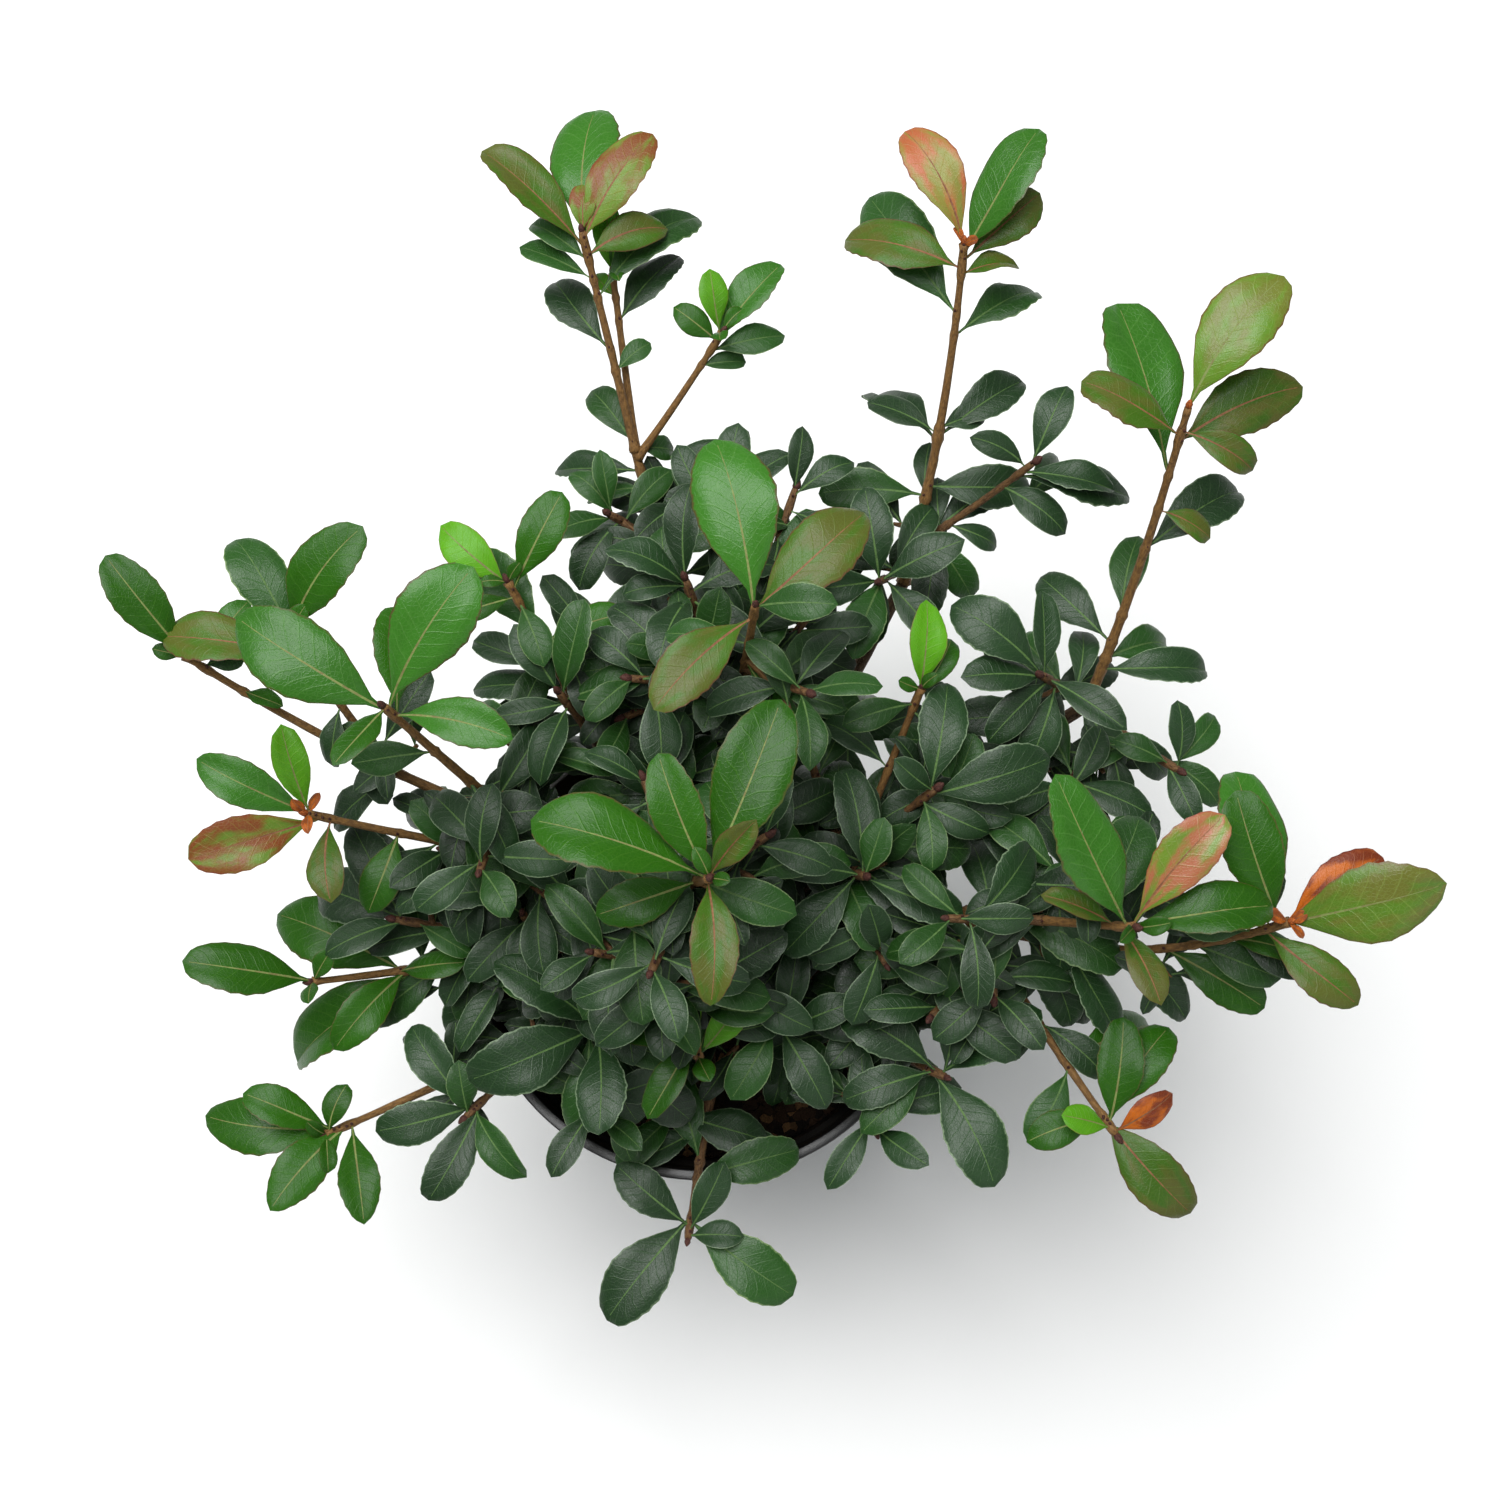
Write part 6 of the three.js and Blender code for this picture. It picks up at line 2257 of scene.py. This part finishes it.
    def build_ribs(self, leaves: Sequence[Leaf], grain: BarkEffect) -> None:
        """Makes the midribs: pale on green leaves, and reddish on tinted ones.

        Args:
            leaves: Every leaf.
            grain: The pattern of the midribs.
        """
        blank = self.rib_blank()
        flat = corners_of(blank)
        tinted = (Tone.OLIVE, Tone.BLUSH, Tone.SALMON, Tone.RUST, Tone.TINGED, Tone.AMBER)
        ribs = ((RIB_DARK, (Tone.DARK, Tone.DEEP)),
                (RIB_BRIGHT, (Tone.FRESH, Tone.BRIGHT, Tone.LIME, Tone.YELLOW)),
                (RIB_TINTED, tinted))
        for finish, tones in ribs:
            bm = bmesh.new()
            for leaf in leaves:
                if leaf.tone in tones:
                    self.add_rib(bm, blank, flat, leaf)
            material = finish.material(grain, on_object, self.rib_gloss)
            place_piece(finish.name, new_mesh(finish.name, bm, material))
        bpy.data.meshes.remove(blank)


RIB_DARK = BarkFinish("midribs_dark", (80, 110, 54), (60, 88, 44), (102, 130, 70), 0.3, 900.0, 0.0001)
RIB_BRIGHT = BarkFinish("midribs_bright", (112, 128, 66), (104, 92, 56), (126, 148, 76), 0.4, 500.0, 0.0001)
RIB_TINTED = BarkFinish("midribs_tinted", (126, 88, 54), (104, 58, 40), (140, 108, 66), 0.3, 500.0, 0.0001)


@dataclass
class Wood:
    """Limbs as tubes bent along their curves, with collars, nodes and the bark's relief."""

    trunk_sides: int = 40
    bough_sides: int = 24
    twig_sides: int = 8
    bough_step: float = 2.2
    twig_step: float = 2.6
    relief: float = 0.09
    collar: float = 0.55
    collar_fade: float = 5.0
    node_swell: float = 0.34
    node_reach: float = 1.3
    most_swell: float = 1.7
    twig_relief: float = 0.05
    bark_size: Pair = (0.5, 0.09)
    knot_size: Pair = (0.12, 0.1)
    knot_share: float = 0.8

    def tube(self, sides: int, stretches: int) -> Mesh:
        """A straight tube round Z from 0 to 1 with closed ends.

        Args:
            sides: Its sides.
            stretches: The stretches along it.

        Returns:
            The tube.
        """
        bm = bmesh.new()
        bmesh.ops.create_cone(bm, cap_ends=True, segments=sides, radius1=1, radius2=1, depth=1,
                              matrix=Matrix.Translation((0, 0, 0.5)))
        upright = [edge for edge in bm.edges if abs(edge.verts[0].co.z - edge.verts[1].co.z) > 0.5]
        bmesh.ops.subdivide_edges(bm, edges=upright, cuts=stretches - 1, use_grid_fill=True)
        return new_mesh("tube_blank", smooth(bm))

    def swelling(self, limb: Limb, shares: Array, rooted: bool) -> Array:
        """How much thicker the limb is at shares of its length: a collar and its leaves' nodes.

        Args:
            limb: The limb.
            shares: The shares.
            rooted: Whether it has a collar where it springs from another.

        Returns:
            A factor for each share.
        """
        swell = np.ones_like(shares)
        if rooted:
            swell += self.collar * np.exp(-shares * limb.length / self.collar_fade)
        for share in limb.leaf_shares:
            swell += self.node_swell * np.exp(-((shares - share) * limb.length / self.node_reach) ** 2)
        return np.minimum(swell, self.most_swell)

    def add_limb(self, bm: BMesh, limb: Limb, sides: int, step: float, rough: float) -> None:
        """Adds one limb's tube to a bmesh.

        Args:
            bm: The bmesh.
            limb: The limb.
            sides: Sides of the tube.
            step: The length of a stretch in millimetres.
            rough: The share of the radius that the bark's relief takes.
        """
        stretches = max(4, round(limb.length / step))
        blank = self.tube(sides, stretches)
        verts = stamp(bm, blank)
        grain = bm.verts.layers.float_vector["grain"]
        centres, across, aside = limb.frames(stretches)
        shares = np.linspace(0, 1, stretches + 1)
        radii = limb.radius(shares) * self.swelling(limb, shares, limb.name != "trunk")
        shift = 50 * noise(len(limb.name), limb.steps, round(limb.length))
        for vert in verts:
            row = round(vert.co.z * stretches)
            x, y = vert.co.x, vert.co.y
            own = Vector((x * radii[row], y * radii[row], shares[row] * limb.length))
            bark, knot = (
                relief.noise(Vector((own.x * thin, own.y * thin, own.z * long + way * shift)))
                for (thin, long), way in ((self.bark_size, 1), (self.knot_size, -1))
            )
            r = radii[row] * (1 + rough * (bark + self.knot_share * knot))
            vert.co = (centres[row] + r * (x * across[row] + y * aside[row])) * MM
            vert[grain] = own + Vector((0, 0, shift * 10))
        bpy.data.meshes.remove(blank)

    def new_bmesh(self) -> BMesh:
        """An empty bmesh that holds a limb's own coordinates."""
        bm = bmesh.new()
        bm.verts.layers.float_vector.new("grain")
        return bm

    def build(self, shrub: "Shrub", effect: BarkEffect) -> None:
        """Makes the trunk, each bough, and the young and old twigs.

        Args:
            shrub: The grown plant.
            effect: The bark pattern.
        """
        old = OLD_BARK.material(effect)
        for limb in shrub.limbs.values():
            if limb.spray is None:
                bm = self.new_bmesh()
                sides = self.trunk_sides if limb.name == "trunk" else self.bough_sides
                self.add_limb(bm, limb, sides, self.bough_step, self.relief)
                place_piece(f"bark_{limb.name}", new_mesh(limb.name, bm, old), [limb.name])
        stems = [limb for limb in shrub.limbs.values() if limb.spray] + shrub.fine_limbs
        kinds = (("twigs_young", True, YOUNG_BARK), ("twigs_old", False, TWIG_BARK))
        for name, young, finish in kinds:
            mine = [limb for limb in stems if limb.young is young]
            bm = self.new_bmesh()
            for limb in mine:
                self.add_limb(bm, limb, self.twig_sides, self.twig_step, self.twig_relief)
            mesh = new_mesh(name, bm, finish.material(effect))
            place_piece(name, mesh, {limb.spray for limb in mine})


@dataclass
class Buds:
    """Pointed buds at the tips of shoots and twigs, and small ones at the foot of larger leaves."""

    sides: int = 8
    rings: int = 6
    tip_radius: float = 1.9
    tip_length: float = 5.2
    taper: float = 0.55
    ridge: float = 0.14
    ridge_scale: float = 1.3
    tip_size: Pair = (0.85, 0.4)
    tip_sunk: float = 0.8
    side_radius: float = 0.8
    side_length: float = 2.4
    side_leaf: float = 34.0
    side_from: float = 0.35
    side_out: float = 1.2
    side_up: float = 0.9

    def blank(self) -> Mesh:
        """A round bud that tapers to a point along +Z, one unit long and two wide."""
        bm = bmesh.new()
        bmesh.ops.create_uvsphere(bm, u_segments=self.sides, v_segments=self.rings, radius=1)
        for vert in bm.verts:
            height = (vert.co.z + 1) / 2
            taper = 1 - self.taper * height ** 2
            vert.co = (vert.co.x * taper, vert.co.y * taper, height)
        return new_mesh("bud_blank", smooth(bm))

    def add(self, bm: BMesh, blank: Mesh, place: Array, along: Array,
            radius: float, length: float) -> None:
        """Adds one bud.

        Args:
            bm: The joined buds.
            blank: The bud's shape.
            place: Its foot in millimetres.
            along: Its direction.
            radius: Its radius.
            length: Its length.
        """
        verts = stamp(bm, blank)
        turn = Vector(along).to_track_quat("Z", "Y")
        grain = bm.verts.layers.float_vector["grain"]
        for vert in verts:
            own = Vector((vert.co.x * radius, vert.co.y * radius, vert.co.z * length))
            ridge = 1 + self.ridge * relief.noise(own * self.ridge_scale + Vector(place))
            vert.co = (turn @ Vector((own.x * ridge, own.y * ridge, own.z)) + Vector(place)) * MM
            vert[grain] = own + Vector(place)

    def build(self, shrub: "Shrub", wood: Wood, effect: BarkEffect) -> None:
        """Makes the brown buds and the rusty ones.

        Args:
            shrub: The grown plant.
            wood: Makes the empty bmesh.
            effect: The bark pattern.
        """
        blank = self.blank()
        plain, rusty = wood.new_bmesh(), wood.new_bmesh()
        for stem in shrub.stems:
            limb = stem.limb
            along = limb.directions(np.array([1.0]))[0]
            lit = bool(stem.shoot and stem.shoot.rusty)
            size = within(self.tip_size, noise(stem.seed, 0, Draw.BUD_SIZE))
            place = limb.tip - along * self.tip_sunk
            buds = rusty if lit else plain
            self.add(buds, blank, place, along, self.tip_radius * size, self.tip_length * size)
        for leaf in shrub.leaves:
            draw = leaf.drawn(Draw.SIDE_BUD)
            if leaf.length > self.side_leaf and draw > self.side_from:
                _, along, _, normal = leaf.frame(0.0)
                place = leaf.base + self.side_out * along + self.side_up * normal
                self.add(plain, blank, place, unit(normal + 0.5 * along), self.side_radius, self.side_length)
        place_piece("buds", new_mesh("buds", plain, BUD_BARK.material(effect)))
        place_piece("buds_rusty", new_mesh("buds_rusty", rusty, RUST_BARK.material(effect)))
        bpy.data.meshes.remove(blank)


@dataclass
class Studio:
    """The pale floor, the soft lights and the camera."""

    view: View
    floor_side: float = 12.0
    floor_shade: Triple = (249, 249, 248)
    floor_cloud: float = 0.98
    floor_roughness: float = 0.8
    key_place: Triple = (-0.45, 0.5, 2.3)
    key_side: float = 1.8
    key_power: float = 74.0
    fill_place: Triple = (1.6, -1.7, 1.7)
    fill_side: float = 1.8
    fill_power: float = 10.0
    sky: float = 0.27
    sky_colour: Colour = (0.93, 0.97, 1.0, 1.0)
    aim: Triple = (0.0, 0.0, 0.3)

    def lamp(self, name: str, place: Triple, side: float, power: float) -> None:
        """Adds a square soft light that faces the plant.

        Args:
            name: Its name.
            place: Its place in metres.
            side: Its side in metres.
            power: Its power in watts.
        """
        light = bpy.data.lights.new(name, "AREA")
        light.size = side
        light.energy = power
        lamp = add_object(name, light)
        lamp.location = place
        lamp.rotation_euler = (Vector(self.aim) - Vector(place)).to_track_quat("-Z", "Y").to_euler()

    def floor(self) -> None:
        """Adds the floor."""
        bm = bmesh.new()
        bmesh.ops.create_grid(bm, x_segments=1, y_segments=1, size=self.floor_side / 2)
        material, recipe, main = new_material("studio_floor")
        cloud = recipe.noise(on_object(recipe), 3.0, 3.0)
        pale = shader_colour(self.floor_shade)
        dull = (*(self.floor_cloud * v for v in pale[:3]), 1.0)
        recipe.tree.links.new(recipe.blend(cloud, pale, dull), main.inputs["Base Color"])
        main.inputs["Roughness"].default_value = self.floor_roughness
        add_object("studio_floor", new_mesh("studio_floor", bm, material))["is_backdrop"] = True

    def build(self) -> None:
        """Sets the stage and points the camera as the photograph's was."""
        self.floor()
        self.lamp("key_light", self.key_place, self.key_side, self.key_power)
        self.lamp("fill_light", self.fill_place, self.fill_side, self.fill_power)
        world = bpy.data.worlds.new("studio_sky")
        world.use_nodes = True
        sky = next(n for n in world.node_tree.nodes if n.type == "BACKGROUND")
        sky.inputs["Color"].default_value = self.sky_colour
        sky.inputs["Strength"].default_value = self.sky
        bpy.context.scene.world = world
        lens = bpy.data.cameras.new("photo_camera")
        lens.lens = self.view.lens
        lens.sensor_width = self.view.sensor
        camera = add_object("photo_camera", lens)
        camera.location = Vector(self.view.place) * MM
        camera.rotation_euler = Euler((math.radians(self.view.tilt), 0, 0))
        bpy.context.scene.camera = camera
        bpy.context.scene.view_settings.view_transform = "Standard"


def main() -> None:
    """Loads the frame, grows the plant, and dresses it, the pot, the soil and the stage."""
    logging.basicConfig(level=logging.INFO, format="%(name)s: %(message)s")
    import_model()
    solid_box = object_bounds()
    view = View()
    Studio(view).build()
    shrub = Shrub()
    foliage = Foliage()
    shrub.grow_finer(Cover(view, shrub.leaves, foliage))
    log.info("%d leaves, %d finer ones", len(shrub.leaves), len(shrub.fine_leaves))
    POT.build(PlasticEffect())
    SOIL.build(CrumbEffect())
    bark = BarkEffect()
    wood = Wood()
    wood.build(shrub, bark)
    foliage.build(shrub.leaves + shrub.fine_leaves, LeafEffect(), bark)
    Buds().build(shrub, wood, bark)
    boxes = {"solids": solid_box, "pieces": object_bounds()}
    lists = {name: [list(map(float, corner)) for corner in box] for name, box in boxes.items()}


if __name__ == "__main__":
    main()
